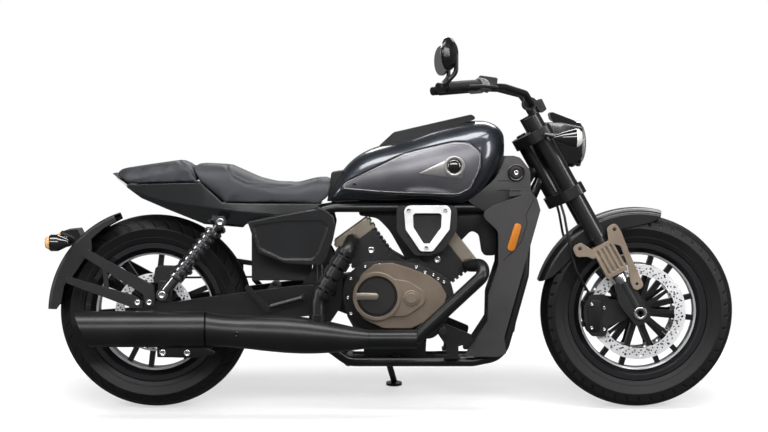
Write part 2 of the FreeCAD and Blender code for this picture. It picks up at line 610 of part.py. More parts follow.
shaft_spot = V(size["front_pulley_x"], 0, size["swingarm_pivot_z"] - 2)
shaft_hole = rod(shaft_spot + V(0, -200, 0), shaft_spot + V(0, 200, 0), "18", "shaft_hole")
SUMP_HALF = 80
GEARBOX_HALF = 60
mounts = both_sides(rod(V(0, -SUMP_HALF - size["seat_gap"], 160), V(0, -CRADLE, 160), "12", "sump_mount"))
mounts += both_sides(rod(V(-226, -GEARBOX_HALF - size["seat_gap"], 352), V(-226, -upright, 352), "12", "gearbox_mount"))

# Side stand pivot: the leg turns on a pin that is welded to the left cradle tube
stand_pivot = V(-40, 150, 176)
foot_floor = V(-6, 268, 268 * math.tan(lean))
leg_end = foot_floor + V(0, -1, 12)
stand_down = (leg_end - stand_pivot).normalize()
stand_back = V(-0.985, 0.17, 0.05).normalize()
stand_axis = stand_down.cross(stand_back).normalize()
stand_mount = [rod(stand_pivot - stand_axis * 66, stand_pivot - stand_axis * 11.5, "14", "stand_boss"),
               rod(stand_pivot - stand_axis * 20, stand_pivot + stand_axis * 15, "Sizes.stand_pin_radius", "stand_pin"),
               rod(stand_pivot + stand_axis * 11.5, stand_pivot + stand_axis * 16, "10", "pin_head")]
frame_parts = both_sides(top_rail) + both_sides(down_tube) + both_sides(pivot_lug) + [head_tube] + cross
whole_frame = removed(removed(fused(frame_parts + mounts + stand_mount), head_bore), group([pivot_hole, shaft_hole]))
finish(whole_frame, "main_frame")

# Swingarm: two plate arms, pivot tube and a brace ahead of the tyre
arm_y = size["swingarm_gap"] / 2 + size["swingarm_thickness"] / 2
arm_corners = [(REAR_AXLE.x - 46, REAR_AXLE.z - 22, 12), (REAR_AXLE.x + 40, REAR_AXLE.z - 26, 16),
               (pivot.x - 178, pivot.z - 86, 60), (pivot.x + 14, pivot.z - 70, 20), (pivot.x + 26, pivot.z + 26, 24),
               (pivot.x - 50, pivot.z + 22, 20), (pivot.x - 192, pivot.z + 4, 60),
               (REAR_AXLE.x + 58, REAR_AXLE.z + 36, 24), (REAR_AXLE.x - 40, REAR_AXLE.z + 38, 18)]
arms = []
for side in (-1, 1):
    arms.append(plate("arm", arm_corners, "Sizes.swingarm_thickness", side * arm_y))
brace = rod(pivot + V(-124, -arm_y, 0), pivot + V(-124, arm_y, 0), "20", "brace")
pivot_tube = rod(pivot + V(0, -arm_y, 0), pivot + V(0, arm_y, 0), "20", "pivot_tube")
rear_axle = rod(REAR_AXLE + V(0, -arm_y - 24, 0), REAR_AXLE + V(0, arm_y + 24, 0), "Sizes.axle_radius", "axle")
finish(fused(arms + [brace, pivot_tube, rear_axle]), "swingarm")

# Battery box in the middle of the frame, hung from the seat's cross tube
box_top = 606 - tube - size["seat_gap"]
finish(plate("battery", [(-455, 402, 8), (-455, 560, 12), (-425, box_top, 10), (-268, box_top, 8), (-268, 402, 8)],
             "120", 0), "battery_box")

# Twin shocks outside the arms
shock_foot = V(REAR_AXLE.x + 34, -size["shock_y"], REAR_AXLE.z + 62)
way = (shock_foot - shock_top).normalize()
body_rod = rod(shock_top + way * 18, shock_foot - way * 16, "9", "damper_rod")
TURNS = 9
coil_length = (shock_foot - shock_top).Length - 96
pitch = coil_length / TURNS
coil_radius = size["shock_coil_radius"]
crests = [(0, 0)]
for i in range(TURNS):
    crests += [(i * pitch, coil_radius - 7), (i * pitch + pitch * 0.3, coil_radius),
               (i * pitch + pitch * 0.7, coil_radius)]
crests += [(coil_length, coil_radius - 7), (coil_length, 0)]
coil = new_body("coil")
revolve(coil, sketch(coil, "XY_Plane", rounded(crests)), "H_Axis")
coil.Placement = FreeCAD.Placement(shock_top + way * 34, FreeCAD.Rotation(V(1, 0, 0), way))
foot_can = rod(shock_foot - way * 64, shock_foot - way * 14, "17", "damper")
eyes = [rod(shock_top - V(0, 12, 0), shock_top + V(0, 12, 0), "18", "eye"),
        rod(shock_foot - V(0, 12, 0), shock_foot + V(0, 12, 0), "18", "eye")]
finish(group(both_sides(fused([body_rod, coil, foot_can] + eyes))), "shocks")

# Engine: crankcase block with gearbox and sump, two cylinders in a wide V, heads and side covers
crank = V(10, 0, 350)
DECK = 128
BARREL = 96
HEAD = 40


def deck_corner(angle, side):
    """Corner of the face that a cylinder stands on, in the side view."""
    lean_back = math.radians(angle)
    half = size["cylinder_width"] / 2 * side
    return (crank.x + DECK * math.sin(lean_back) + half * math.cos(lean_back),
            crank.z + DECK * math.cos(lean_back) - half * math.sin(lean_back), 2)


case = [(-158, 300, 30), (-120, 232, 40), (120, 222, 40), (170, 300, 40), deck_corner(size["front_cylinder_angle"], 1),
        deck_corner(size["front_cylinder_angle"], -1), (28, 468, 10), deck_corner(-size["rear_cylinder_angle"], 1),
        deck_corner(-size["rear_cylinder_angle"], -1)]
gearbox = [(-236, 326, 16), (-236, 404, 16), (-140, 424, 10), (-140, 290, 10)]
sump = [(-100, 146, 14), (90, 146, 14), (96, 240, 6), (-106, 240, 6)]
finish(fused([plate("crankcase", case, "Sizes.engine_width - 30", 0),
              plate("gearbox", gearbox, "120", 0), plate("sump", sump, "160", 0)]), "engine_block")


def cylinder(name, foot, angle, width, length, base):
    """Barrel with ribs at its front and rear edges, that leans by angle degrees from upright, forward if positive."""
    body = new_body(name)
    half = width / 2
    ribs = int(length // 16)
    rise = length / ribs
    edge = []
    for i in range(ribs):
        foot_of_rib = base + i * rise
        edge += [(half, foot_of_rib), (half, foot_of_rib + rise * 0.6), (half - 6, foot_of_rib + rise * 0.6),
                 (half - 6, foot_of_rib + rise)]
    barrel = edge + [(-across, height) for across, height in reversed(edge)]
    pad(body, sketch(body, "XZ_Plane", rounded(barrel)), "Sizes.cylinder_width * 1.5")
    body.Placement = FreeCAD.Placement(foot, FreeCAD.Rotation(V(0, 1, 0), angle))
    return body


finish(group([cylinder("barrel_rear", crank, -size["rear_cylinder_angle"], size["cylinder_width"], BARREL, DECK),
              cylinder("barrel_front", crank, size["front_cylinder_angle"], size["cylinder_width"], BARREL, DECK)]),
       "cylinders")
finish(group([cylinder("head_rear", crank, -size["rear_cylinder_angle"], size["cylinder_width"] + 6, HEAD, DECK + BARREL),
              cylinder("head_front", crank, size["front_cylinder_angle"], size["cylinder_width"] + 6, HEAD, DECK + BARREL)]),
       "head_covers")
cover = [(-130, 358, 30), (-112, 424, 30), (-70, 458, 20), (-14, 462, 20), (48, 444, 20), (100, 424, 20),
         (138, 396, 20), (157, 360, 16), (143, 325, 20), (95, 282, 24), (46, 259, 24), (-40, 259, 30),
         (-110, 290, 40)]
case_half = (size["engine_width"] - 30) / 2
cover_y = case_half + size["cover_thickness"] / 2
right_cover = plate("cover_right", cover, "Sizes.cover_thickness", -cover_y)
cover_face = -case_half - size["cover_thickness"]


def boss(x, z, radius, proud, name):
    """Round boss on the right-hand cover, proud of its face."""
    return rod(V(x, cover_face - proud, z), V(x, cover_face + 6, z), radius, name)


clutch_ring = removed(boss(-61, 358, "75", 10, "clutch_rim"), boss(-61, 358, "64", 11, "clutch_recess"))
relief = plate("relief", [(-61, 420, 30), (40, 404, 30), (88, 372, 24), (88, 336, 24), (30, 296, 30), (-61, 296, 30)],
               "12", cover_face)
relief_hole = boss(-61, 358, "64", 30, "relief_hole")
raised_parts = removed(fused([clutch_ring, relief, boss(46, 353, "24", 10, "plug")]), relief_hole)
disc_boss = fused([raised_parts, boss(-61, 358, "56", 5, "clutch_disc"), boss(46, 353, "17", 13, "plug_cap")])
left_cover = plate("cover_left", [(-x * 0.8 - 10, z, r) for x, z, r in reversed(cover)],
                   "Sizes.cover_thickness", cover_y)
finish(group([fused([right_cover, disc_boss]), left_cover]), "engine_covers")
intake = [(22, 642, 20), (170, 642, 20), (164, 568, 16), (112, 500, 12), (74, 500, 12), (28, 568, 16)]
intake_hole = [(50, 618, 10), (140, 618, 10), (138, 574, 12), (102, 524, 6), (84, 524, 6), (52, 574, 12)]
housing = [(30, 612, 16), (162, 612, 16), (156, 572, 16), (110, 510, 10), (78, 510, 10), (36, 572, 16)]
cheek = [(0, 640, 16), (188, 640, 16), (188, 566, 20), (146, 502, 16), (104, 486, 10), (58, 486, 10), (0, 560, 20)]
finish(fused([plate("housing", housing, "320", 0)] + both_sides(plate("cheek", cheek, "60", -130))), "intake_housing")
intake_frame = new_body("intake_ring")
pad(intake_frame, sketch(intake_frame, "XZ_Plane", rounded(intake), 169.3), "18")
pocket(intake_frame, sketch(intake_frame, "XZ_Plane", rounded(intake_hole)))
finish(intake_frame, "intake_frame")

# Fuel tank, its side panels and the pad on top
FLOOR = size["tank_floor_z"]
HALF = size["tank_half_width"]
tank_sections = [
    (size["tank_rear_x"], pillow(84, FLOOR, 676, -4)), (-172, pillow(108, FLOOR, 742, -6)),
    (-110, pillow(126, FLOOR, 800, -8)), (0, pillow(HALF - 8, FLOOR, 838, -8)),
    (120, pillow(HALF, FLOOR, 876, -10)), (230, pillow(HALF - 6, FLOOR, 902, -10)),
    (290, pillow(134, 706, 900, 0)), (330, pillow(92, 768, 872, 0)), (size["tank_front_x"], pillow(60, 800, 850, 0))]
tank_loft = loft("tank_shell", tank_sections)
below = box("below_tank", V(-600, -300, FLOOR - 100), 1200, 600, 100)
finish(removed(tank_loft, below), "fuel_tank")
panel_corners = [(-170, 692, 8), (-160, 712, 10), (24, 802, 60), (180, 838, 20), (226, 836, 20), (262, 804, 20),
                 (262, 760, 20), (230, 692, 16), (190, 672, 14), (-45, 680, 60)]
PROUD = size["tank_panel_thickness"]
skin_sections = [(x + (PROUD if x > 300 else 0), [(y * (1 + PROUD / HALF), z) for y, z in points])
                 for x, points in tank_sections]
panel_block = doc.addObject("Part::Common", "panel_block")
panel_block.Base = plate("panel_outline", panel_corners, "2 * Sizes.tank_half_width + 80", 0)
panel_block.Tool = loft("panel_skin", skin_sections)
panel = removed(panel_block, tank_loft)
finish(panel, "tank_panels")
pad_corners = [(-64, 816, 4), (-8, 868, 20), (236, 924, 10), (252, 912, 6), (236, 904, 4), (25, 842, 30)]
finish(removed(plate("pad_block", pad_corners, "110", 0), tank_loft), "tank_pad")

# Seats and the tail body under them
rider = [crowned(-200, 96, 731, 600), crowned(-255, 108, 724, 600), crowned(-308, 122, 709, 600),
         crowned(-378, 140, 711, 600), crowned(-431, 148, 724, 600), crowned(-485, 152, 748, 600),
         crowned(-522, 150, 765, 620), crowned(-646, 126, 771, 620), crowned(-690, 118, 771, 640)]
pillion = [crowned(-600, 130, 774, 680), crowned(-673, 122, 780, 680), crowned(-760, 108, 768, 680),
           crowned(-852, 86, 754, 680), crowned(-886, 66, 744, 680)]
tail = [shell(-222, 104, 680, 634, 596), shell(-365, 148, 690, 612, 560), shell(-480, 150, 690, 622, 540),
        shell(-600, 138, 740, 637, 540), shell(-720, 116, 750, 652, 590), shell(-843, 88, 750, 690, 640),
        shell(-890, 68, 760, 720, 680)]
SEAT_LINE = [(-180, 645), (-236, 645), (-519, 648), (-541, 650), (-610, 712), (-843, 705), (-874, 726), (-900, 748)]
TAIL_FOOT = [(-900, 748), (-874, 722), (-841, 694), (-797, 662), (-720, 630), (-598, 582), (-478, 572), (-460, 591),
             (-365, 610), (-248, 630), (-235, 645)]
CUSHION_WIDTH = "2 * Sizes.tank_half_width + 100"
gap = size["seat_gap"]
pillion_outline = plate("pillion_outline", [(x, z + gap) for x, z in SEAT_LINE[4:-1]] + [
    (-890, 742), (-890, 900), (-706, 900), (-673, 780), (-642, 762), (-614, 716)], CUSHION_WIDTH, 0)
rider_outline = plate("rider_outline", [(x, z + gap) for x, z in SEAT_LINE[1:4]] + [
    (-609, 713), (-613, 717), (-639.5, 763.5), (-671.5, 782), (-705, 900), (-199, 900), (-199, 731), (-207, 680),
    (-211, 666)], CUSHION_WIDTH, 0)


finish(shared("rider_pad", ruled("rider_cushion", rider), rider_outline), "rider_seat")
finish(shared("pillion_pad", ruled("pillion_cushion", pillion), pillion_outline), "passenger_seat")
tail_outline = plate("tail_outline", TAIL_FOOT + SEAT_LINE[1:-1], CUSHION_WIDTH, 0)
tail_loft = shared("tail_shell", ruled("tail_skin", tail), tail_outline)
rail_way = [V(-190, -rail, rail_z)] + seat_rail + [V(-700, -rail, 674)]
rail_room = bent(rail_way, tube + size["seat_gap"], 80, "rail_room")
under_rail = plate("under_rail", [(-240, 540), (-240, 616), (-330, 606), (-560, 630), (-640, 654), (-648, 540)],
                   "2 * (Sizes.frame_rail_spacing / 2 + Sizes.frame_tube_radius + Sizes.seat_gap)", 0)
bar_room = rod(V(shock_top.x, -200, shock_top.z), V(shock_top.x, 200, shock_top.z), "12 + Sizes.seat_gap", "bar_room")
cross_room = rod(V(-330, -rail, 606), V(-330, rail, 606), "Sizes.frame_tube_radius + Sizes.seat_gap", "cross_room")
finish(removed(tail_loft, fused(both_sides(rail_room) + [under_rail, bar_room, cross_room])), "tail_cover")
side_cover = [(-464, 594, 10), (-246, 638, 16), (-221, 628, 10), (-198, 610, 14), (-191, 583, 16), (-203, 523, 40),
              (-216, 478, 20), (-234, 455, 14), (-343, 462, 40), (-430, 496, 20)]
recess = [(-446, 579, 10), (-352, 592, 30), (-230, 594, 10), (-214, 576, 10), (-244, 492, 16), (-261, 474, 14),
          (-352, 474, 30), (-424, 508, 24)]
cover_side = removed(plate("side_cover", side_cover, "30", -138), plate("cover_recess", recess, "8", -153))
finish(removed(group(both_sides(cover_side)), tail_outline), "side_covers")

# Radiator between two shrouds behind the front wheel
finish(plate("radiator", [(322, 240, 4), (370, 240, 4), (428, 560, 4), (380, 560, 4)], "Sizes.radiator_width", 0), "radiator")
shroud = [(418, 682, 10), (438, 660, 10), (448, 626, 10), (336, 228, 20), (343, 179, 8), (319, 168, 8),
          (206, 168, 8), (232, 200, 8), (284, 279, 20), (286, 360, 30), (317, 455, 30), (317, 560, 30),
          (260, 612, 20), (300, 642, 10)]
SHROUD_THICKNESS = 22
shroud_y = 111 + size["seat_gap"] + SHROUD_THICKNESS / 2
neck = [(346, 772, 8), (374, 786, 8), (416, 750, 14), (412, 690, 8), (346, 676, 8)]
shoulder = [(350, 668), (350, 690), (411, 692), (416, 676)]
shroud_side = fused([plate("shroud", shroud, "22", -shroud_y), plate("neck_cover", neck, "16", -86),
                     plate("shoulder", shoulder, "54", -106)])
finish(group(both_sides(shroud_side)), "radiator_shrouds")

# Exhaust: header pipes, heat shield and the long muffler
pipe_y = size["muffler_y"]
pipe_z = size["muffler_z"]
CAN_FRONT = -83
CAN_JOIN = -588
CAN_END = -1010
port_y = size["cylinder_width"] * 0.75 + size["seat_gap"]
pipe_low = 232
front_pipe = bent([V(226, -port_y, 455), V(226, -146, 455), V(264, -184, 458), V(268, -212, 428), V(57, -213, pipe_low),
                   V(20, pipe_y, pipe_low)], 20.5, 70, "front_header")
collector = rod(V(62, pipe_y, pipe_low), V(CAN_FRONT + size["seat_gap"], pipe_y, pipe_low), "Sizes.pipe_radius + 2.4",
                "collector")
shield_top = V(-152, -206.5, 504)
shield_foot = V(-239, -215.6, 360)
rear_pipe = bent([V(-138, -port_y, 530), V(-138, -150, 530), V(-150, -206, 507), V(-243, -216, 353),
                  V(-243, pipe_y, 262)], 22, 60, "rear_header")
BANDS = 5
shield_length = (shield_foot - shield_top).Length
band = shield_length / BANDS
shield_line = [(0, 0)]
for i in range(BANDS):
    shield_line += [(i * band, 27), (i * band, size["shield_radius"]), (i * band + band * 0.8, size["shield_radius"]),
                    (i * band + band * 0.8, 27)]
shield_line += [(shield_length, 27), (shield_length, 0)]
shield = new_body("heat_shield")
revolve(shield, sketch(shield, "XY_Plane", rounded(shield_line)), "H_Axis")
shield.Placement = FreeCAD.Placement(shield_top, FreeCAD.Rotation(V(1, 0, 0), shield_foot - shield_top))
collar = rod(V(-243, pipe_y, 280), V(-243, pipe_y, 308), "27", "collar")
radius = size["muffler_radius"]


def round_section(x, z, reach):
    """Round cross-section of the muffler's front cone."""
    turns = [math.radians(30 * i) for i in range(12)]
    return (x, [(pipe_y + reach * math.cos(a), z + reach * math.sin(a)) for a in turns])


cone = loft("muffler_cone", [round_section(CAN_JOIN, pipe_z, radius), round_section(-410, 251, radius - 0.5),
                             round_section(-235, 240, 52), round_section(-160, 235, 41),
                             round_section(CAN_FRONT, pipe_low, size["pipe_radius"] + 2.4)])
finish(group([fused([front_pipe, collector]), removed(fused([rear_pipe, shield, collar]), cone)]),
       "exhaust_headers")
can = new_body("muffler_can")
can_length = CAN_JOIN - CAN_END
revolve(can, sketch(can, "XY_Plane", rounded(
    [(0, 0), (0, radius - 2), (-2, radius), (-can_length, radius), (-can_length, radius - 3),
     (-can_length + 160, radius - 3), (-can_length + 160, 0)])), "H_Axis")
can.Placement = FreeCAD.Placement(V(CAN_JOIN, pipe_y, pipe_z), FreeCAD.Rotation())
slash = plate("slash", [(-1031, 400), (-916, 150), (-1200, 150), (-1200, 400)], "200", pipe_y)
finish(removed(fused([cone, can]), slash), "muffler")

# Rear hugger fender with the arms that hold it to the swingarm
hugger = new_body("hugger_shell")
HUGGER_START = 112
HUGGER_END = 178
reach = size["hugger_width"] / 2
outer = size["hugger_radius"]
skirt = outer - 58
profile = [(-reach, skirt), (-reach, outer, 10), (reach, outer, 10), (reach, skirt),
           (reach - 4, skirt), (reach - 4, outer - 4, 7), (-reach + 4, outer - 4, 7), (-reach + 4, skirt)]
drawing = sketch(hugger, "YZ_Plane", rounded(profile))
ring = revolve(hugger, drawing)
ring.Angle = HUGGER_END - HUGGER_START
hugger.Placement = about_axle(REAR_AXLE, HUGGER_END)
skirt_line = ((178, 304), (174, 291), (163, 292), (157, 279), (134, 276), (130, 302), (120, 307), (110, 311))
hugger_trim = [polar(REAR_AXLE, outer + 8, angle) + (4,) for angle in range(110, 183, 8)]
hugger_trim += [polar(REAR_AXLE, edge, angle) + (8,) for angle, edge in skirt_line]
hugger_shell = shared("hugger_side", hugger, plate("hugger_trim", hugger_trim, "2 * Sizes.hugger_width", 0))
HOLD_Y = arm_y + size["swingarm_thickness"] / 2 + 7 + size["seat_gap"]
upper_arm = plate("upper_arm", [(-976, 486, 6), (-960, 506, 6), (-754, 394, 6), (-749, 360, 6), (-752, 328, 6),
                                (-778, 328, 6), (-786, 366, 6)], "14", -HOLD_Y)
lower_arm = plate("lower_arm", [(-1026, 402, 6), (-1014, 420, 6), (-812, 362, 6), (-786, 344, 8), (-790, 322, 8),
                                (-818, 324, 8)], "14", -HOLD_Y)
arm_strut = plate("arm_strut", [(-912, 455, 2), (-898, 455, 2), (-892, 380, 2), (-906, 380, 2)], "12", -HOLD_Y)
tie_y = HOLD_Y + 7
ties = []
for x, z in ((-964, 493), (-1018, 410)):
    ties += both_sides(rod(V(x, -reach + 2, z), V(x, -tie_y, z), "8", "tie"))
finish(fused([hugger_shell] + both_sides(upper_arm) + both_sides(arm_strut) + both_sides(lower_arm) + ties), "rear_hugger")

# Tail lamp, indicators and the blank plate holder on the hugger
tail_lamp = new_body("tail_lamp")
pad(tail_lamp, sketch(tail_lamp, "XZ_Plane", rounded(
    [(-1064, 542, 4), (-1042, 560, 4), (-1002, 564, 4), polar(REAR_AXLE, outer + size["seat_gap"], 134.3),
     polar(REAR_AXLE, outer + size["seat_gap"], 139), (-1058, 530, 4)])), "120")
rear_blinker = new_body("rear_blinker")
revolve(rear_blinker, sketch(rear_blinker, "XY_Plane", rounded(
    [(0, 0), (0, 10, 8), (-34, 26, 14), (-58, 26, 2), (-58, 24), (-74, 14, 8), (-74, 0)])), "H_Axis")
rear_blinker.Placement = FreeCAD.Placement(V(-1020, -130, 524), FreeCAD.Rotation())
blinker_stem = rod(V(-1040, -112, 524), V(-1040, -58, 536), "7", "stem")
finish(group([fused(both_sides(rear_blinker) + both_sides(blinker_stem) + [tail_lamp])]), "rear_lights")

# Drive belt, guard, footrests and the rear caliper
front_pulley = V(size["front_pulley_x"], size["belt_y"], size["swingarm_pivot_z"] - 2)
rear_hub = V(REAR_AXLE.x, size["belt_y"], REAR_AXLE.z)


def belt_loop(big, small):
    """Closed outline of two arcs and two straight runs round the pulleys."""
    way = front_pulley - rear_hub
    tilt = math.degrees(math.atan2(way.z, way.x))
    lift = math.degrees(math.asin((big - small) / way.Length))
    rear = [V(*polar(rear_hub, big, tilt + angle), 0) for angle in (90 - lift, 180, 270 + lift)]
    front = [V(*polar(front_pulley, small, tilt + angle), 0) for angle in (lift - 90, 0, 90 - lift)]
    return [Part.Arc(*rear), Part.LineSegment(rear[2], front[0]), Part.Arc(*front), Part.LineSegment(front[2], rear[0])]


loop = new_body("belt")
BELT_GAP = 1
big = size["rear_pulley_radius"] + BELT_GAP
small = size["front_pulley_radius"] + size["seat_gap"]
thick = size["belt_thickness"]
pad(loop, sketch(loop, "XZ_Plane", belt_loop(big + thick, small + thick) + belt_loop(big, small), -size["belt_y"]),
    "Sizes.belt_width")
half_belt = V(0, size["belt_width"] / 2, 0)
drive = fused([rod(front_pulley - half_belt, front_pulley + half_belt, "Sizes.front_pulley_radius", "front_pulley"),
               rod(V(front_pulley.x, GEARBOX_HALF + size["seat_gap"], front_pulley.z), front_pulley, "12", "shaft")])
finish(group([loop, drive]), "drive_belt")
guard = [(-560, 452, 4), (-470, 440, 10), (-300, 424, 4), (-300, 438, 4), (-470, 455, 10), (-556, 468, 4)]
guard_tab = [(-520, 374, 3), (-492, 377, 3), (-492, 450, 3), (-520, 450, 3)]
finish(fused([plate("guard", guard, "24", 112), plate("guard_tab", guard_tab, "11", 128.5)]), "belt_guard")
peg = rod(V(141, -170, 260), V(141, -262, 260), "Sizes.peg_radius", "peg")
peg_foot = box("peg_foot", V(148, -176, 165 + size["seat_gap"]), 50, 80, 8)
peg_leg = box("peg_leg", V(154, -176, 168), 38, 12, 60)
peg_plate = plate("peg_plate", [(124, 250, 8), (150, 276, 8), (236, 240, 8), (232, 216, 8), (160, 196, 8)], "12", -170)
rear_peg_plate = plate("rear_peg_plate", [(-474, 392, 8), (-458, 398, 8), (-384, 322, 8), (-402, 312, 8)], "14", -196)
finish(group(both_sides(fused([peg, peg_plate, peg_foot, peg_leg]))), "foot_controls")
peg_brace = rod(V(-391, -196, 330), V(-292, -196, 357), "8", "peg_brace")
peg_stub = rod(V(-292, -196, 357), V(-292, -arm_y - size["swingarm_thickness"] / 2 - size["seat_gap"], 357), "9", "peg_stub")
finish(group(both_sides(fused([rear_peg_plate, peg_brace, peg_stub]))), "passenger_pegs")
rear_caliper = new_body("caliper_block")
pad(rear_caliper, sketch(rear_caliper, "XZ_Plane", rounded(
    [(-762, 398, 10), (-690, 396, 10), (-680, 448, 12), (-752, 450, 12)]), -rear_disc_y), "64")
rear_slot = new_body("rear_slot")
pad(rear_slot, sketch(rear_slot, "XZ_Plane", [circle(REAR_AXLE.x, REAR_AXLE.z,
                                                      size["rear_disc_radius"] + size["disc_gap"])], -rear_disc_y),
    "Sizes.disc_thickness + 2 * Sizes.disc_gap")
caliper_arm = plate("rear_caliper_arm", [(-748, 316, 6), (-704, 320, 6), (-700, 404, 6), (-742, 404, 6)], "23", -116.2)
finish(removed(fused([rear_caliper, caliper_arm]), rear_slot), "rear_caliper")

# Side stand: leg, foot and pivot eye
stand_leg = rod(stand_pivot, leg_end, "Sizes.stand_radius", "stand_leg")
foot = doc.addObject("Part::Cylinder", "foot")
bind(foot, Radius="Sizes.stand_radius + 16")
foot.Height = 8
foot.Placement = FreeCAD.Placement(foot_floor, FreeCAD.Rotation(V(1, 0, 0), size["lean_angle"]))
eye = rod(stand_pivot - stand_axis * 11, stand_pivot + stand_axis * 11, "18", "eye")
eye_hole = rod(stand_pivot - stand_axis * 30, stand_pivot + stand_axis * 30,
               "Sizes.stand_pin_radius + Sizes.running_gap", "eye_hole")
finish(removed(fused([stand_leg, foot, eye]), eye_hole), "side_stand")

def check_shapes():
    """Stop if any object failed or any finished piece has no sound shape."""
    failed = [thing.Label for thing in doc.Objects if "Invalid" in thing.State or "Error" in thing.State]
    unsound = [piece.Label for piece in nodes if piece.Shape.isNull() or not piece.Shape.isValid()]
    empty = [piece.Label for piece in nodes if not piece.Shape.Solids]
    if failed or unsound or empty:
        raise RuntimeError("failed %s, unsound %s, empty %s" % (failed, unsound, empty))


# Lean the whole bike, then bring the middle of its box over the origin
doc.recompute()
check_shapes()
upright_places = [piece.Placement for piece in nodes]
for piece, place in zip(nodes, upright_places):
    piece.Placement = LEANED.multiply(place)
doc.recompute()
boxes = [piece.Shape.optimalBoundingBox(False, False) for piece in nodes]
middle = V((min(b.XMin for b in boxes) + max(b.XMax for b in boxes)) / 2,
           (min(b.YMin for b in boxes) + max(b.YMax for b in boxes)) / 2, min(b.ZMin for b in boxes))
STANDING = FreeCAD.Placement(-middle, FreeCAD.Rotation()).multiply(LEANED)
for piece, place in zip(nodes, upright_places):
    piece.Placement = STANDING.multiply(place)
doc.recompute()

check_shapes()
os.makedirs("parts", exist_ok=True)
for piece in nodes:
    piece.Shape.exportStep("parts/%s.step" % piece.Label)
print("%d pieces, box %s" % (len(nodes), middle))
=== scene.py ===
import bpy
import bmesh
import math
from mathutils import Matrix, Vector


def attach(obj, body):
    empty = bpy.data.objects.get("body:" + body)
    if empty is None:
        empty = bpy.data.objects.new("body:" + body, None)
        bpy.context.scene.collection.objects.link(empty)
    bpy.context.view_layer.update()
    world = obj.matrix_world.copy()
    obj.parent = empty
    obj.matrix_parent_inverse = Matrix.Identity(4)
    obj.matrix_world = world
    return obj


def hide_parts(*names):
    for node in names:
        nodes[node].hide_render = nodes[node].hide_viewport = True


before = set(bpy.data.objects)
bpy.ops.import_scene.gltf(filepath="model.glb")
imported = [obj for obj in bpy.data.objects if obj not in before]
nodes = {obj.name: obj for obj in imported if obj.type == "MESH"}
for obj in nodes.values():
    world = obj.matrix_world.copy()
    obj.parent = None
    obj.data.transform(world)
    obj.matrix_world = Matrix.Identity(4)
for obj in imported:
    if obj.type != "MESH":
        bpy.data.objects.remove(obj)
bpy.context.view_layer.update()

# The studio: a white floor under the motorcycle and a camera level with its tank.
# The motorcycle leans on its stand, and the camera leans with it, so that it sees the right side square on.
# UPRIGHT takes a point of the motorcycle drawn upright, in metres, to its place on the stand.
LEAN = math.radians(8)
STAND_SHIFT = Vector((0.015, -0.153647, 0.000787))
UPRIGHT = Matrix.Translation(STAND_SHIFT) @ Matrix.Rotation(-LEAN, 4, "X")
CAMERA_SPOT = Vector((-0.039, -7.6, 0.906))
CAMERA_AIM = Vector((-0.039, 0, 0.6026))
LENS_MILLIMETRES = 112.6
camera_data = bpy.data.cameras.new("camera")
camera_data.lens = LENS_MILLIMETRES
camera_data.clip_end = 60
camera = bpy.data.objects.new("camera", camera_data)
bpy.context.scene.collection.objects.link(camera)
camera_stand = UPRIGHT @ CAMERA_SPOT
camera.location = camera_stand
camera.rotation_mode = "QUATERNION"
camera.rotation_quaternion = (UPRIGHT @ CAMERA_AIM - camera_stand).to_track_quat("-Z", "Y")
bpy.context.scene.camera = camera
bpy.context.scene.view_settings.view_transform = "Standard"


# Maths on shader sockets: an expression on Field values adds its Math nodes.
# node() adds any other node, with its settings first and then the values or links of its sockets.
class Field:
    def __init__(self, tree, socket=None):
        self.tree = tree
        self.socket = socket

    def node(self, kind, settings, sockets, output=0):
        made = self.tree.nodes.new("ShaderNode" + kind)
        for name, setting in settings.items():
            setattr(made, name, setting)
        for name, given in sockets.items():
            if isinstance(given, Field):
                self.tree.links.new(given.socket, made.inputs[name])
            else:
                made.inputs[name].default_value = given
        return Field(self.tree, made.outputs[output] if len(made.outputs) else None)

    def maths(self, operation, *terms):
        return self.node("Math", {"operation": operation}, dict(enumerate(terms)))

    def __add__(self, other):
        return self.maths("ADD", self, other)

    def __sub__(self, other):
        return self.maths("SUBTRACT", self, other)

    def __rsub__(self, other):
        return self.maths("SUBTRACT", other, self)

    def __mul__(self, other):
        return self.maths("MULTIPLY", self, other)

    def __truediv__(self, other):
        return self.maths("DIVIDE", self, other)

    def __pow__(self, other):
        return self.maths("POWER", self, other)

    def __abs__(self):
        return self.maths("ABSOLUTE", self)

    __radd__ = __add__
    __rmul__ = __mul__

    def most(self, other):
        return self.maths("MAXIMUM", self, other)

    def rise(self, low, high):
        """0 below low and 1 above high, with a smooth step between."""
        limits = {"Value": self, "From Min": low, "From Max": high}
        return self.node("MapRange", {"interpolation_type": "SMOOTHSTEP"}, limits)

    def band(self, low, high, soft):
        """1 between low and high, 0 outside."""
        return self.rise(low - soft, low + soft) * (1 - self.rise(high - soft, high + soft))

    def between(self, low, high):
        """A colour from low, where the field is 0, to high, where it is 1."""
        return self.node("Mix", {"data_type": "RGBA"}, {0: self, 6: low, 7: high}, 2)

    def noise(self, scale, detail=3.0, stretch=(1, 1, 1)):
        stretched = self.node("Mapping", {}, {"Vector": self.place(), "Scale": stretch})
        return self.node("TexNoise", {}, {"Vector": stretched, "Scale": scale, "Detail": detail})

    def place(self):
        """The point of the surface in metres on the upright motorcycle."""
        coords = self.node("TexCoord", {}, {}, 3)
        shift = Matrix.Rotation(LEAN, 3, "X") @ -STAND_SHIFT
        return self.node("Mapping", {}, {"Vector": coords, "Rotation": (LEAN, 0, 0), "Location": shift})

    def axis(self, letter):
        return self.node("SeparateXYZ", {}, {0: self.place()}, "XYZ".index(letter))

    def reach(self, x, z):
        """Distance in the side view from a point of the upright motorcycle."""
        return ((self.axis("X") - x) ** 2 + (self.axis("Z") - z) ** 2) ** 0.5


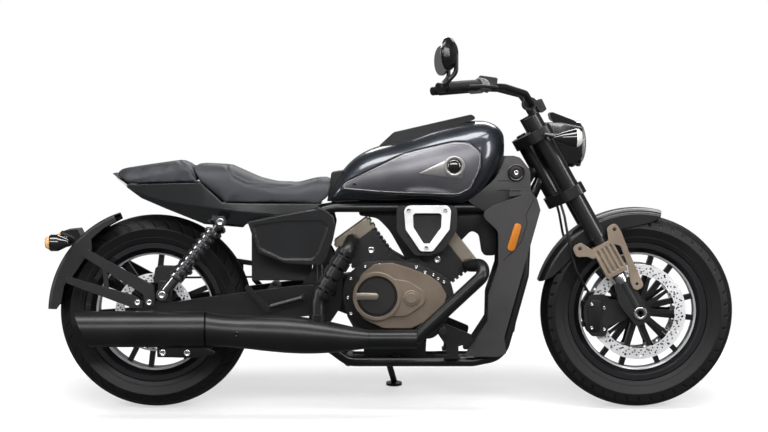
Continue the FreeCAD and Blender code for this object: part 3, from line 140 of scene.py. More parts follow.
# Floor and backdrop: a seamless white sheet that keeps the soft shadow under the tyres.
# Away from the motorcycle it glows for the camera alone, so that it stays white to the horizon,
# and polished pieces mirror a greyer floor, as they do under a dark ceiling.
def stage_material(name):
    material = bpy.data.materials.new(name)
    material.use_nodes = True
    material.node_tree.nodes.clear()
    return material, Field(material.node_tree)


bpy.ops.object.select_all(action="DESELECT")
bpy.ops.mesh.primitive_circle_add(vertices=96, radius=45, fill_type="NGON")
floor = bpy.context.object
floor.name = "floor"
floor_material, paper = stage_material("floor_sheet")
floor_place = paper.node("TexCoord", {}, {}, 3)
floor_x = paper.node("SeparateXYZ", {}, {0: floor_place}, 0)
floor_y = paper.node("SeparateXYZ", {}, {0: floor_place}, 1)
spread = (floor_x / 1.5) ** 2 + ((floor_y + 0.05) / 0.75) ** 2
glow_share = spread.rise(0.8, 2.6) * 0.45 + 0.55
sheet_colour = paper.node("BsdfDiffuse", {}, {"Color": (0.9, 0.9, 0.9, 1)})
glow = paper.node("Emission", {}, {"Color": (1, 1, 1, 1), "Strength": 1.0})
lit_sheet = paper.node("MixShader", {}, {0: glow_share, 1: sheet_colour, 2: glow})
mirrored_sheet = paper.node("Emission", {}, {"Color": (1, 1, 1, 1), "Strength": 0.13})
shaded_sheet = paper.node("BsdfDiffuse", {}, {"Color": (0.25, 0.25, 0.25, 1)})
camera_ray = paper.node("LightPath", {}, {}, 0)
glossy_ray = paper.node("LightPath", {}, {}, 3)
unseen = paper.node("MixShader", {}, {0: glossy_ray, 1: shaded_sheet, 2: mirrored_sheet})
floor_look = paper.node("MixShader", {}, {0: camera_ray, 1: unseen, 2: lit_sheet})
paper.node("OutputMaterial", {}, {0: floor_look})
floor.data.materials.append(floor_material)

# The room: white to the camera, a bright band at the horizon and a dim ceiling to polished metal.
# Five softboxes light it, long ones overhead and beside the motorcycle and upright ones ahead and behind.
world = bpy.data.worlds.new("studio")
world.use_nodes = True
bpy.context.scene.world = world
world.node_tree.nodes.clear()
sky = Field(world.node_tree)
sky_height = sky.node("SeparateXYZ", {}, {0: sky.node("TexCoord", {}, {}, 0)}, 2)
ceiling = 0.22 - sky_height.rise(0.05, 0.45) * 0.17
sky_camera = sky.node("LightPath", {}, {}, 0)
sky_glossy = sky.node("LightPath", {}, {}, 3)
sky_strength = sky_camera.most(sky_glossy * ceiling).most((1 - sky_glossy) * 0.18)
room_light = sky.node("Background", {}, {0: (1, 1, 1, 1), 1: sky_strength})
sky.node("OutputWorld", {}, {0: room_light})


def soft_lamp(name, place, aim, size, power):
    """A rectangular softbox at a place, turned to shine on aim."""
    lamp_data = bpy.data.lights.new(name, "AREA")
    lamp_data.shape = "RECTANGLE"
    lamp_data.size, lamp_data.size_y = size
    lamp_data.energy = power
    lamp = bpy.data.objects.new(name, lamp_data)
    bpy.context.scene.collection.objects.link(lamp)
    lamp.location = place
    lamp.rotation_mode = "QUATERNION"
    lamp.rotation_quaternion = (Vector(aim) - Vector(place)).to_track_quat("-Z", "Y")


soft_lamp("overhead_lamp", (0.0, -0.9, 3.2), (0, 0, 0.5), (4.4, 0.9), 165)
soft_lamp("front_lamp", (3.4, -2.2, 1.9), (0.3, 0, 0.6), (0.8, 2.4), 85)
soft_lamp("rear_lamp", (-3.4, -2.0, 1.8), (-0.3, 0, 0.5), (0.8, 2.4), 75)
soft_lamp("side_lamp", (0.0, -4.4, 3.0), (0, 0, 0.5), (5.0, 0.9), 165)
soft_lamp("far_lamp", (0.4, 3.0, 2.4), (0, 0, 0.6), (3.0, 1.0), 60)


# Painted, coated and moulded surfaces start as one Principled material with a faint cloud in its colour,
# fine grain in its gloss and edges that catch the light as a casting's rounded corners do.
# recipe(surface) may then add what one finish alone has, such as a tread or a machined line.
def finish(name, colour, roughness, metal=0.0, coat=0.0, edge=0.0012, grain=0.05, recipe=None, clear=0.05,
           gloss=0.34):
    material = bpy.data.materials.new(name)
    material.use_nodes = True
    tree = material.node_tree
    surface = tree.nodes["Principled BSDF"]
    surface.inputs["Metallic"].default_value = metal
    surface.inputs["Coat Weight"].default_value = coat
    surface.inputs["Specular IOR Level"].default_value = gloss
    surface.inputs["Coat Roughness"].default_value = clear
    start = Field(tree)
    cloud = start.noise(9.0, 4.0)
    speck = start.noise(700.0, 2.0)
    dark = tuple(c * 0.88 for c in colour) + (1,)
    light = tuple(min(1, c * 1.12) for c in colour) + (1,)
    looks = {
        "Base Color": cloud.rise(0.3, 0.7).between(dark, light),
        "Roughness": speck * 0.05 + cloud * 0.08 + (roughness - 0.065),
        "Height": speck * grain,
    }
    if recipe:
        looks = recipe(start, looks)
    rounded = start.node("Bevel", {"samples": 4}, {"Radius": edge})
    relief = {"Strength": 1.0, "Distance": 0.001, "Height": looks.pop("Height"), "Normal": rounded}
    looks["Normal"] = start.node("Bump", {}, relief)
    for socket, field in looks.items():
        tree.links.new(field.socket, surface.inputs[socket])
    return material


def dress(material, *names):
    for name in names:
        mesh = nodes[name].data
        mesh.materials.clear()
        mesh.materials.append(material)


# Tyres: black rubber with slanted grooves over the shoulders and two fine ribs round each side wall. Painted
# shade darkens the grooves.
# A TREAD row is the number of grooves, where they start and end across the tyre, and how far they slant.
WHEEL_BASE = 1.520
AXLE_HEIGHT = 0.304
AXLE_X = {"front": WHEEL_BASE / 2, "rear": -WHEEL_BASE / 2}
TREAD = {"front": (46, 0.020, 0.062, 15), "rear": (40, 0.022, 0.088, 11)}
SHOULDER = (0.264, 0.268)
INNER_RIB = (0.2335, 0.2350)
OUTER_RIB = (0.2600, 0.2612)


def tread(end):
    blocks, inner, outer, slant = TREAD[end]

    def recipe(rubber, looks):
        turn = rubber.maths("ARCTAN2", rubber.axis("Z") - AXLE_HEIGHT, rubber.axis("X") - AXLE_X[end])
        across = abs(rubber.axis("Y"))
        bent = (across * slant * 2 + rubber.maths("SINE", across * 120) * 0.08)
        step = rubber.maths("FRACT", turn * (blocks / math.tau) + bent + 100)
        radius = rubber.reach(AXLE_X[end], AXLE_HEIGHT)
        cut = step.band(0.40, 0.60, 0.03) * across.band(inner, outer, 0.0015) * radius.rise(*SHOULDER)
        ribs = radius.band(*INNER_RIB, 0.0004) + radius.band(*OUTER_RIB, 0.0004)
        looks["Height"] = looks["Height"] - cut * 4.0 + ribs * 0.7
        # Painted shade: the grooves are coloured near black.
        looks["Base Color"] = (cut * 0.8).between(looks["Base Color"], (0.002, 0.002, 0.002, 1))
        looks["Roughness"] = looks["Roughness"] + radius.rise(0.27, 0.29) * 0.12
        return looks

    return recipe


for end in AXLE_X:
    rubber = finish("rubber_of_%s_tyre" % end, (0.0045, 0.0045, 0.005), 0.46, recipe=tread(end), gloss=0.24)
    dress(rubber, "%s_tyre" % end)


# Wheels: twelve-spoke aluminium castings in gloss black paint.
# A bright line is turned into the edge of each rim after painting.
RIM_LINE = (0.1792, 0.1850)


def machined_line(end):
    def recipe(paint, looks):
        radius = paint.reach(AXLE_X[end], AXLE_HEIGHT)
        line = radius.band(*RIM_LINE, 0.0004)
        looks["Base Color"] = line.between(looks["Base Color"], (0.85, 0.85, 0.87, 1))
        looks["Metallic"] = line * 0.5
        looks["Coat Weight"] = 0.7 - line * 0.6
        return looks

    return recipe


for end in AXLE_X:
    wheel_paint = finish("paint_of_%s_wheel" % end, (0.006, 0.006, 0.007), 0.22, recipe=machined_line(end))
    dress(wheel_paint, "%s_wheel" % end)


# Brake discs: ground steel bands, with fine rings left by the grinding, on black carriers.
# Two rows of holes are cut through the solids, and three finer rows are drawn and dented here.
# A row is its distance out from the carrier and its share of a step round the disc.
FINE_HOLE_ROWS = ((0.009, 0.0), (0.016, 0.35), (0.0235, 0.7))
FINE_HOLES = 40
FINE_HOLE_EDGE = (0.0021, 0.0026)
CARRIER_RADIUS = {"front": 0.113, "rear": 0.091}


def ground_band(end):
    def recipe(steel, looks):
        radius = steel.reach(AXLE_X[end], AXLE_HEIGHT)
        band = radius.rise(CARRIER_RADIUS[end], CARRIER_RADIUS[end] + 0.001)
        rings = steel.maths("SINE", radius * 6500)
        turn = steel.maths("ARCTAN2", steel.axis("Z") - AXLE_HEIGHT, steel.axis("X") - AXLE_X[end])
        drilled = None
        for row, shift in FINE_HOLE_ROWS:
            middle = CARRIER_RADIUS[end] + row
            share = steel.maths("FRACT", turn * (FINE_HOLES / math.tau) + shift + 100)
            off = (share - 0.5) * (math.tau * middle / FINE_HOLES)
            hole = 1 - ((off ** 2 + (radius - middle) ** 2) ** 0.5).rise(*FINE_HOLE_EDGE)
            drilled = hole if drilled is None else drilled.most(hole)
        looks["Base Color"] = band.between((0.006, 0.006, 0.007, 1), looks["Base Color"])
        looks["Base Color"] = drilled.between(looks["Base Color"], (0.004, 0.004, 0.004, 1))
        looks["Metallic"] = band * (1 - drilled) * 0.45
        looks["Roughness"] = looks["Roughness"] + rings * 0.04
        looks["Height"] = looks["Height"] + rings * 0.02 * band - drilled * 2.0
        return looks

    return recipe


DISC_STEEL = (0.66, 0.66, 0.67)
dress(finish("front_disc_steel", DISC_STEEL, 0.34, recipe=ground_band("front")), "front_discs")
dress(finish("rear_disc_steel", DISC_STEEL, 0.34, recipe=ground_band("rear")), "rear_disc")


# Drive belt: black toothed rubber between the engine's pulley and the rear wheel's.
# The teeth are drawn across it at an even pitch along the motorcycle, and painted shade darkens the gaps
# between them.
BELT_PITCH = 0.011


def belt_teeth(rubber, looks):
    along = rubber.maths("FRACT", rubber.axis("X") / BELT_PITCH + 100)
    tooth = along.band(0.25, 0.75, 0.08)
    looks["Height"] = looks["Height"] + tooth * 1.2
    # Painted shade: the gaps between the teeth are coloured darker than the teeth.
    looks["Base Color"] = tooth.between((0.004, 0.004, 0.004, 1), looks["Base Color"])
    return looks


dress(finish("belt_rubber", (0.012, 0.012, 0.012), 0.6, recipe=belt_teeth), "drive_belt")

# Frame, swingarm, clamps, bars, pegs and stand: steel and forgings under satin black powder coat.
# The battery box, instrument, hugger, tank pad and intake housing are moulded plastic, the hoses rubber.
frame_coat = finish("satin_frame_coat", (0.006, 0.006, 0.0065), 0.3, gloss=0.42)
dress(frame_coat, "main_frame", "swingarm", "triple_clamps", "handlebar", "foot_controls", "passenger_pegs",
      "side_stand", "belt_guard")
dress(finish("moulded_plastic", (0.008, 0.008, 0.0085), 0.45), "battery_box", "instrument", "rear_hugger",
      "tank_pad", "intake_housing")
dress(finish("hose_rubber", (0.006, 0.006, 0.006), 0.5), "brake_hoses")


# New pieces are made on the upright motorcycle, in metres, and settle() leans them onto the stand.
def settle(piece, name, body, material, smooth=35):
    piece.name = name
    bpy.ops.object.select_all(action="DESELECT")
    piece.select_set(True)
    bpy.context.view_layer.objects.active = piece
    bpy.ops.object.shade_smooth_by_angle(angle=math.radians(smooth))
    piece.matrix_world = UPRIGHT @ piece.matrix_world
    bpy.ops.object.transform_apply(location=True, rotation=True, scale=True)
    piece.data.materials.clear()
    piece.data.materials.append(material)
    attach(piece, body)
    return piece


def faces_where(test):
    """Select the faces of the piece in edit mode whose middle and direction pass the test."""
    bpy.ops.mesh.select_mode(type="FACE")
    bpy.ops.mesh.select_all(action="DESELECT")
    shape = bmesh.from_edit_mesh(bpy.context.object.data)
    for face in shape.faces:
        if test(face.calc_center_median(), face.normal):
            face.select_set(True)
    bmesh.update_edit_mesh(bpy.context.object.data)


def rounded_edges(piece, width, segments=2):
    modifier = piece.modifiers.new("edges", "BEVEL")
    modifier.width = width
    modifier.segments = segments
    modifier.limit_method = "ANGLE"
    bpy.context.view_layer.objects.active = piece
    bpy.ops.object.modifier_apply(modifier=modifier.name)


# Shock and hugger bolts: bright plated steel, turned with a rounded rim and a round socket in the head.
# One is modelled at the origin and copied to its spots, given in millimetres, with its head along facing.
def copy_to(pattern, place, facing):
    """A copy with its own mesh, at a place in metres, with its Z axis along facing."""
    copy = pattern.copy()
    copy.data = pattern.data.copy()
    bpy.context.scene.collection.objects.link(copy)
    copy.location = place
    copy.rotation_euler = Vector(facing).to_track_quat("Z", "Y").to_euler()
    return copy


def joined(copies, pattern):
    """The copies as one piece; the pattern they were made from is removed."""
    bpy.data.objects.remove(pattern)
    bpy.ops.object.select_all(action="DESELECT")
    for copy in copies:
        copy.select_set(True)
    bpy.context.view_layer.objects.active = copies[0]
    if len(copies) > 1:
        bpy.ops.object.join()
    return bpy.context.view_layer.objects.active


def mirrored(points):
    """The same points on the left side of the motorcycle."""
    return [(x, -y, z) for x, y, z in points]


def bolts(name, spots, radius, height, body, material, facing=(0, -1, 0)):
    bpy.ops.object.select_all(action="DESELECT")
    bpy.ops.mesh.primitive_cylinder_add(vertices=24, radius=radius, depth=height)
    bolt = bpy.context.object
    bpy.ops.object.mode_set(mode="EDIT")
    faces_where(lambda middle, way: way.z > 0.9)
    bpy.ops.mesh.inset(thickness=radius * 0.42)
    bpy.ops.mesh.extrude_region_move(TRANSFORM_OT_translate={"value": (0, 0, -height * 0.55)})
    bpy.ops.object.mode_set(mode="OBJECT")
    rounded_edges(bolt, radius * 0.14)
    copies = [copy_to(bolt, Vector(spot) / 1000, facing) for spot in spots]
    return settle(joined(copies, bolt), name, body, material)


def on_side(node, x, z):
    """Where a line square to the right side meets a node: the depth y in millimetres, and its facing."""
    start = UPRIGHT @ Vector((x / 1000, -0.8, z / 1000))
    inward = UPRIGHT.to_3x3() @ Vector((0, 1, 0))
    hit, spot, way, face = nodes[node].ray_cast(start, inward)
    if not hit:
        raise RuntimeError("nothing of %s at %s, %s" % (node, x, z))
    return (UPRIGHT.inverted() @ spot).y * 1000, UPRIGHT.to_3x3().inverted() @ way


bolt_steel = finish("bright_bolt_steel", (0.6, 0.6, 0.61), 0.24, metal=1.0, edge=0.0004)
SHOCK_BOLTS = [(-726, -187, 366), (-545, -187, 592)]
bolts("shock_bolts", SHOCK_BOLTS, 0.0115, 0.006, "chassis", bolt_steel)
bolts("left_shock_bolts", mirrored(SHOCK_BOLTS), 0.0115, 0.006, "chassis", bolt_steel, (0, 1, 0))
bolts("hugger_bolts", [(-803, -172, 341), (-767, -172, 341)], 0.009, 0.006, "chassis", bolt_steel)


# Shocks: coil springs on dampers, both in black chrome.
# A faint cloud in the coat makes the turns glint unevenly under the softboxes.
def coil_glint(chrome, looks):
    looks["Coat Weight"] = chrome.noise(40.0) * 0.2 + 0.8
    return looks


dress(finish("black_chrome_coil", (0.16, 0.16, 0.165), 0.2, metal=0.95, recipe=coil_glint), "shocks")

# Fork: dark cast sliders and calipers, painted tubes and fender, and forged champagne brackets.
# The engine block, rear pulley, rear caliper and radiator share the dark cast finish.
dark_cast = finish("dark_cast_metal", (0.012, 0.012, 0.0125), 0.4, metal=0.2, grain=0.25)
dress(dark_cast, "engine_block", "rear_pulley", "fork_sliders", "front_calipers", "rear_caliper", "radiator")
dress(finish("champagne_forging", (0.30, 0.24, 0.185), 0.36, metal=0.75, edge=0.002), "fork_brackets")
dress(finish("fender_paint", (0.009, 0.009, 0.0095), 0.3, coat=0.15), "front_fender", "fork_tubes")


# Axle ring: a turned steel collar on the fork foot, round the open end of the front axle.
# It is a short cylinder with its faces inset, bridged into a ring and given rounded edges.
def turned_ring(name, place, outer, inner, depth, body, material, facing=(0, -1, 0)):
    """A flat ring with rounded edges, its middle at place in millimetres and its axis along facing."""
    bpy.ops.object.select_all(action="DESELECT")
    bpy.ops.mesh.primitive_cylinder_add(vertices=48, radius=outer, depth=depth)
    ring = bpy.context.object
    bpy.ops.object.mode_set(mode="EDIT")
    faces_where(lambda middle, way: abs(way.z) > 0.9)
    bpy.ops.mesh.inset(thickness=outer - inner)
    bpy.ops.mesh.bridge_edge_loops()
    bpy.ops.object.mode_set(mode="OBJECT")
    rounded_edges(ring, min(depth, outer - inner) * 0.25)
    ring.location = Vector(place) / 1000
    ring.rotation_euler = Vector(facing).to_track_quat("Z", "Y").to_euler()
    return settle(ring, name, body, material)


turned_ring("axle_ring", (760, -133, 304), 0.020, 0.0125, 0.005, "steering", bolt_steel)


# Bracket bolts and slider sleeves: blackened bolts that hold each forged bracket, seated on its face,
# and a bright steel sleeve round each fork leg just above the cast slider.
dark_steel = finish("blackened_bolt_steel", (0.03, 0.028, 0.026), 0.35, metal=0.8, edge=0.0004)
BRACKET_BOLTS = [(571, 507), (678, 567), (752, 397)]
bracket_spots = [(x, on_side("fork_brackets", x, z)[0] - 1, z) for x, z in BRACKET_BOLTS]
bolts("bracket_bolts", bracket_spots, 0.0062, 0.005, "steering", dark_steel)
bolts("left_bracket_bolts", mirrored(bracket_spots), 0.0062, 0.005, "steering", dark_steel, (0, 1, 0))
LEG_WAY = Vector((-0.4848, 0, 0.8746))
LEG_DEPTH = 105
SLEEVE_ABOVE_AXLE = 122
for side, name in ((-1, "right_slider_sleeve"), (1, "left_slider_sleeve")):
    sleeve_middle = Vector((760, LEG_DEPTH * side, 304)) + LEG_WAY * SLEEVE_ABOVE_AXLE
    turned_ring(name, tuple(sleeve_middle), 0.0228, 0.0200, 0.028, "steering", bolt_steel,
                tuple(LEG_WAY))


# Front calipers: a raised bridge on each cast body, and four bright pins.
# Flat mouldings like the bridge are cut to an outline of (x, z, corner radius) in millimetres in the
# side view, reach from one depth y to another, and have all their edges rounded.
def softened(corners, steps=4):
    """Outline points with each corner rounded by a quadratic curve."""
    outline = []
    for i, (x, z, radius) in enumerate(corners):
        here = Vector((x, z))
        before = Vector(corners[i - 1][:2])
        after = Vector(corners[(i + 1) % len(corners)][:2])
        start = here + (before - here).normalized() * radius
        end = here + (after - here).normalized() * radius
        for step in range(steps + 1):
            t = step / steps
            outline.append(start * (1 - t) ** 2 + here * (2 * t * (1 - t)) + end * t ** 2)
    return outline


def moulding(name, corners, depths, edge, body, material):
    outline = softened(corners)
    bpy.ops.object.select_all(action="DESELECT")
    bpy.ops.mesh.primitive_circle_add(vertices=len(outline), fill_type="NGON")
    part = bpy.context.object
    for vertex, point in zip(part.data.vertices, outline):
        vertex.co = Vector((point.x, depths[0], point.y)) / 1000
    bpy.ops.object.mode_set(mode="EDIT")
    bpy.ops.mesh.select_all(action="SELECT")
    through = (0, (depths[1] - depths[0]) / 1000, 0)
    bpy.ops.mesh.extrude_region_move(TRANSFORM_OT_translate={"value": through})
    bpy.ops.mesh.select_all(action="SELECT")
    bpy.ops.mesh.normals_make_consistent(inside=False)
    bpy.ops.object.mode_set(mode="OBJECT")
    rounded_edges(part, edge, 3)
    return settle(part, name, body, material)


CALIPER_BRIDGE = [(603, 242, 6), (600, 330, 8), (616, 344, 6), (640, 340, 8), (640, 246, 8)]
caliper_face = on_side("front_calipers", 622, 300)[0]
caliper_coat = finish("caliper_coat", (0.010, 0.010, 0.0105), 0.3, metal=0.3, edge=0.001)
CALIPER_PINS = [(612, 256), (612, 330), (652, 250), (652, 318)]
for side, name in ((1, "right"), (-1, "left")):
    bridge_depths = (side * (caliper_face - 7), side * (caliper_face + 2))
    moulding(name + "_caliper_bridge", CALIPER_BRIDGE, bridge_depths, 0.002, "steering", caliper_coat)
    pins = [(x, side * (caliper_face - (9 if x < 640 else 1)), z) for x, z in CALIPER_PINS]
    bolts(name + "_caliper_pins", pins, 0.005, 0.005, "steering", bolt_steel, (0, -side, 0))


# Headlamp: a gloss black bowl with a chromed rim, a domed lens, and a side plate on each side.
# The rings of the reflector behind the lens are drawn and dented in the lens, and painted shade darkens a
# band of each ring and the middle round the bulb.
LAMP_HEIGHT = 0.832
LAMP_FACE = 0.5785
LENS_RADIUS = 0.0625
LENS_BULGE = 0.34


def reflector_rings(glass, looks):
    radius = (glass.axis("Y") ** 2 + (glass.axis("Z") - LAMP_HEIGHT) ** 2) ** 0.5
    rings = glass.maths("FRACT", radius / 0.0072)
    bulb = 1 - radius.rise(0.012, 0.013)
    # Painted shade: a band of each ring and the middle round the bulb are coloured dark.
    painted_reflector_shade = (rings.band(0.55, 0.95, 0.04) * 0.75).most(bulb)
    looks["Base Color"] = painted_reflector_shade.between(looks["Base Color"], (0.10, 0.105, 0.11, 1))
    looks["Height"] = looks["Height"] + rings * 0.2
    return looks


dress(finish("lamp_bowl_paint", (0.005, 0.005, 0.0055), 0.16, coat=0.8), "headlamp")
lens_look = finish("clear_lens", (0.62, 0.63, 0.65), 0.08, metal=0.6, coat=1.0, edge=0.0005,
                   recipe=reflector_rings)
chrome = finish("bright_chrome", (0.72, 0.72, 0.74), 0.09, metal=1.0, edge=0.0015)
turned_ring("headlamp_rim", (575, 0, 832), 0.0725, 0.060, 0.014, "steering", chrome, (1, 0, 0))
bpy.ops.object.select_all(action="DESELECT")
bpy.ops.mesh.primitive_uv_sphere_add(segments=48, ring_count=24, radius=LENS_RADIUS)
lens = bpy.context.object
bpy.ops.object.mode_set(mode="EDIT")
bpy.ops.mesh.select_all(action="SELECT")
bpy.ops.mesh.bisect(plane_co=(0, 0, 0), plane_no=(1, 0, 0), clear_inner=True, use_fill=True)
bpy.ops.object.mode_set(mode="OBJECT")
lens.scale = (LENS_BULGE, 1, 1)
lens.location = (LAMP_FACE, 0, LAMP_HEIGHT)
settle(lens, "headlamp_lens", "steering", lens_look)
NACELLE = [(468, 900, 10), (520, 898, 10), (584, 884, 4), (584, 792, 6), (557, 766, 10), (520, 772, 10),
           (500, 800, 20)]
nacelle_paint = finish("nacelle_paint", (0.0055, 0.0055, 0.006), 0.24, coat=0.7)
moulding("right_nacelle", NACELLE, (-76.5, -68), 0.003, "steering", nacelle_paint)
moulding("left_nacelle", NACELLE, (68, 76.5), 0.003, "steering", nacelle_paint)


# Indicators and tail lamp: gloss black shells with a ribbed lens over the end, clear ahead and amber behind.
# The middle of the tail lamp is red. The lenses are drawn and dented on the shells.
def lens_end(edge_x, glass, ahead):
    def recipe(shell, looks):
        along = shell.axis("X")
        lit = along.rise(edge_x, edge_x + 0.0006)
        if not ahead:
            lit = 1 - lit
        ribs = shell.maths("SINE", shell.axis("Z") * 2600)
        looks["Base Color"] = lit.between(looks["Base Color"], glass)
        looks["Height"] = looks["Height"] + ribs * lit * 0.15
        looks["Roughness"] = looks["Roughness"] - lit * 0.05
        return looks

    return recipe


dress(finish("front_indicator", (0.005, 0.005, 0.0055), 0.16, coat=0.9,
             recipe=lens_end(0.556, (0.6, 0.58, 0.55, 1), True)), "front_indicators")


def tail_lenses(shell, looks):
    looks = lens_end(-1.080, (0.62, 0.36, 0.16, 1), False)(shell, looks)
    across = abs(shell.axis("Y"))
    red = (1 - across.rise(0.054, 0.055)) * (1 - shell.axis("X").rise(-1.046, -1.045))
    looks["Base Color"] = red.between(looks["Base Color"], (0.3, 0.006, 0.006, 1))
    return looks


dress(finish("rear_light_shells", (0.005, 0.005, 0.0055), 0.16, coat=0.9, recipe=tail_lenses), "rear_lights")


# Hand controls: ribbed rubber grips, satin silver switch boxes and black levers.
# The pattern runs along the bar's end, from its tip inwards.
BAR_TIP = Vector((0.140, 0.400, 1.004))
GRIP_WAY = Vector((0.105, -0.088, 0.008)).normalized()
RIBBED_LENGTH = (0.010, 0.131)
SWITCH_BOX = (0.1385, 0.1835)


def grip_and_switch(rubber, looks):
    ahead = rubber.axis("X") - BAR_TIP.x
    aside = abs(rubber.axis("Y")) - BAR_TIP.y
    above = rubber.axis("Z") - BAR_TIP.z
    along = ahead * GRIP_WAY.x + aside * GRIP_WAY.y + above * GRIP_WAY.z
    radius = (ahead ** 2 + aside ** 2 + above ** 2 - along ** 2).most(0.0) ** 0.5
    on_bar = 1 - radius.rise(0.0215, 0.022)
    box = along.band(*SWITCH_BOX, 0.0005) * on_bar
    ribs = rubber.maths("SINE", along * 2100) * along.band(*RIBBED_LENGTH, 0.001) * on_bar
    looks["Base Color"] = box.between(looks["Base Color"], (0.34, 0.34, 0.35, 1))
    looks["Metallic"] = box * 0.9
    looks["Roughness"] = looks["Roughness"] - box * 0.12
    looks["Height"] = looks["Height"] + ribs * 0.6
    return looks


dress(finish("grip_rubber", (0.008, 0.008, 0.008), 0.45, recipe=grip_and_switch), "hand_controls")

# Mirrors: gloss black shells on stems; the silvered glass is the flat side that faces backwards.
# The place and yaw are those of the shell's flat side, above the top of its stem.
MIRROR_X = 0.150
MIRROR_Y = 0.425
MIRROR_YAW = math.radians(25)
STEM_TOP = (1.0535, 1.0545)


def silvered_face(shell, looks):
    back = (shell.axis("X") - MIRROR_X) * -math.cos(MIRROR_YAW)
    inward = (abs(shell.axis("Y")) - MIRROR_Y) * -math.sin(MIRROR_YAW)
    glass = (back + inward).rise(-0.0008, -0.0003) * shell.axis("Z").rise(*STEM_TOP)
    looks["Base Color"] = glass.between(looks["Base Color"], (0.8, 0.8, 0.82, 1))
    looks["Metallic"] = glass * 1.0
    looks["Roughness"] = looks["Roughness"] - glass * 0.12
    return looks


dress(finish("mirror_shell_paint", (0.006, 0.006, 0.0065), 0.18, recipe=silvered_face), "mirrors")


# Fuel tank and side panels: pressed steel in gunmetal metallic paint, under clear coat on the tank alone.
# Fine flakes break up the colour of both.
def flakes(paint, looks):
    sparkle = paint.noise(2200.0, 1.0).rise(0.62, 0.75)
    looks["Base Color"] = (sparkle * 0.6).between(looks["Base Color"], (0.10, 0.115, 0.15, 1))
    return looks


tank_paint = finish("tank_paint", (0.026, 0.030, 0.037), 0.36, metal=0.75, coat=1.0, grain=0.0,
                    recipe=flakes, clear=0.12)
dress(tank_paint, "fuel_tank")
dress(finish("panel_paint", (0.125, 0.122, 0.132), 0.4, metal=0.8, edge=0.003, recipe=flakes), "tank_panels")

# Painted highlight round each side panel of the tank: a thin satin silver bead laid just inside the panel's
# edge, where the panel's chamfered edge catches the light.
# Its line is drawn on the side view, brought to the panel's surface, and mirrored for the left.
PANEL_CORNERS = [(-166, 694, 6), (-156, 711, 9), (26, 799, 50), (180, 834, 20), (224, 832, 18),
                 (258, 802, 18), (258, 761, 18), (228, 695, 14), (189, 676, 12), (-45, 684, 50)]
EDGE_HIGHLIGHT_RADIUS = 0.0011
GAP_SHADE_RADIUS = 0.0028


def laid_on(node, points, lift):
    """Points of the side view in millimetres, brought to the right side of a node and lifted off it."""
    return [Vector((x, on_side(node, x, z)[0] - lift, z)) / 1000 for x, z in points]


def filled_in(points, spacing):
    """The same closed outline with more points on its long runs."""
    dense = []
    for i, here in enumerate(points):
        after = points[(i + 1) % len(points)]
        steps = max(1, int((after - here).length / spacing))
        dense += [here.lerp(after, step / steps) for step in range(steps)]
    return dense


def bead(name, points, radius, body, material):
    """A round bead along a closed line of points in metres."""
    bpy.ops.object.select_all(action="DESELECT")
    bpy.ops.mesh.primitive_circle_add(vertices=len(points))
    line = bpy.context.object
    for vertex, point in zip(line.data.vertices, points):
        vertex.co = point
    bpy.ops.object.convert(target="CURVE")
    line = bpy.context.object
    line.data.bevel_depth = radius
    line.data.bevel_resolution = 2
    bpy.ops.object.convert(target="MESH")
    return settle(bpy.context.object, name, body, material, 60)


panel_line = filled_in(softened(PANEL_CORNERS), 12)
edge_highlight_points = laid_on("tank_panels", [tuple(point) for point in panel_line], 0.2)
screw_and_edge_highlight_silver = finish("silver_of_screws_and_edge_highlight", (0.34, 0.34, 0.35), 0.3, metal=1.0, edge=0.0003)
# Painted highlight: the silver bead stands for the light on the panel's chamfered edge; the same silver
# serves the intake screws.
bead("panel_edge_highlight", edge_highlight_points, EDGE_HIGHLIGHT_RADIUS, "chassis", screw_and_edge_highlight_silver)
bead("left_panel_edge_highlight", mirrored(edge_highlight_points), EDGE_HIGHLIGHT_RADIUS, "chassis", screw_and_edge_highlight_silver)

# Gap shade: a near-black bead laid between the tank and the edge of each side panel, as painted shade in the
# gap there.
# Its line runs a few millimetres outside the panel's own.
GAP_SHADE_CORNERS = [(-176, 690, 8), (-164, 714, 11), (22, 806, 60), (180, 842, 22), (228, 840, 22),
                (266, 806, 22), (266, 758, 22), (232, 688, 18), (190, 668, 16), (-45, 676, 60)]
gap_shade_line = filled_in(softened(GAP_SHADE_CORNERS), 12)
gap_shade_points = laid_on("fuel_tank", [tuple(point) for point in gap_shade_line], 0.6)
# Painted shade: the near-black bead stands for the shade in the panel's gap; the same black also colours the
# gap strip below.
gap_shade_and_strip_black = finish("gap_shade_and_strip_black", (0.003, 0.003, 0.003), 0.5)
bead("panel_gap_shade", gap_shade_points, GAP_SHADE_RADIUS, "chassis", gap_shade_and_strip_black)
bead("left_panel_gap_shade", mirrored(gap_shade_points), GAP_SHADE_RADIUS, "chassis", gap_shade_and_strip_black)

# Gap strip: a moulded rubber strip that closes the gap between the tank's rear and the seat's nose.
# It is cut to the slanted gap in the side view and reaches from one side to the other.
GAP_STRIP = [(-217, 652, 2), (-204, 742, 4), (-166, 748, 4), (-197, 652, 2)]
moulding("seat_gap_strip", GAP_STRIP, (-82, 82), 0.003, "chassis", gap_shade_and_strip_black)

# Blade, cap and screw on the right panel: a raised blade in silver-grey paint that sweeps back from a
# domed black cap in a ring, and a small black screw at the panel's rear corner.
BLADE_CORNERS = [(68, 741, 3), (152, 782, 14), (184, 796, 16), (214, 772, 16), (203, 724, 8), (112, 734, 20)]
CAP = (178.7, 762.9)
CAP_RADIUS = 0.0225
CAP_BULGE = 0.4
PANEL_SCREW = (-131.8, 705.9)


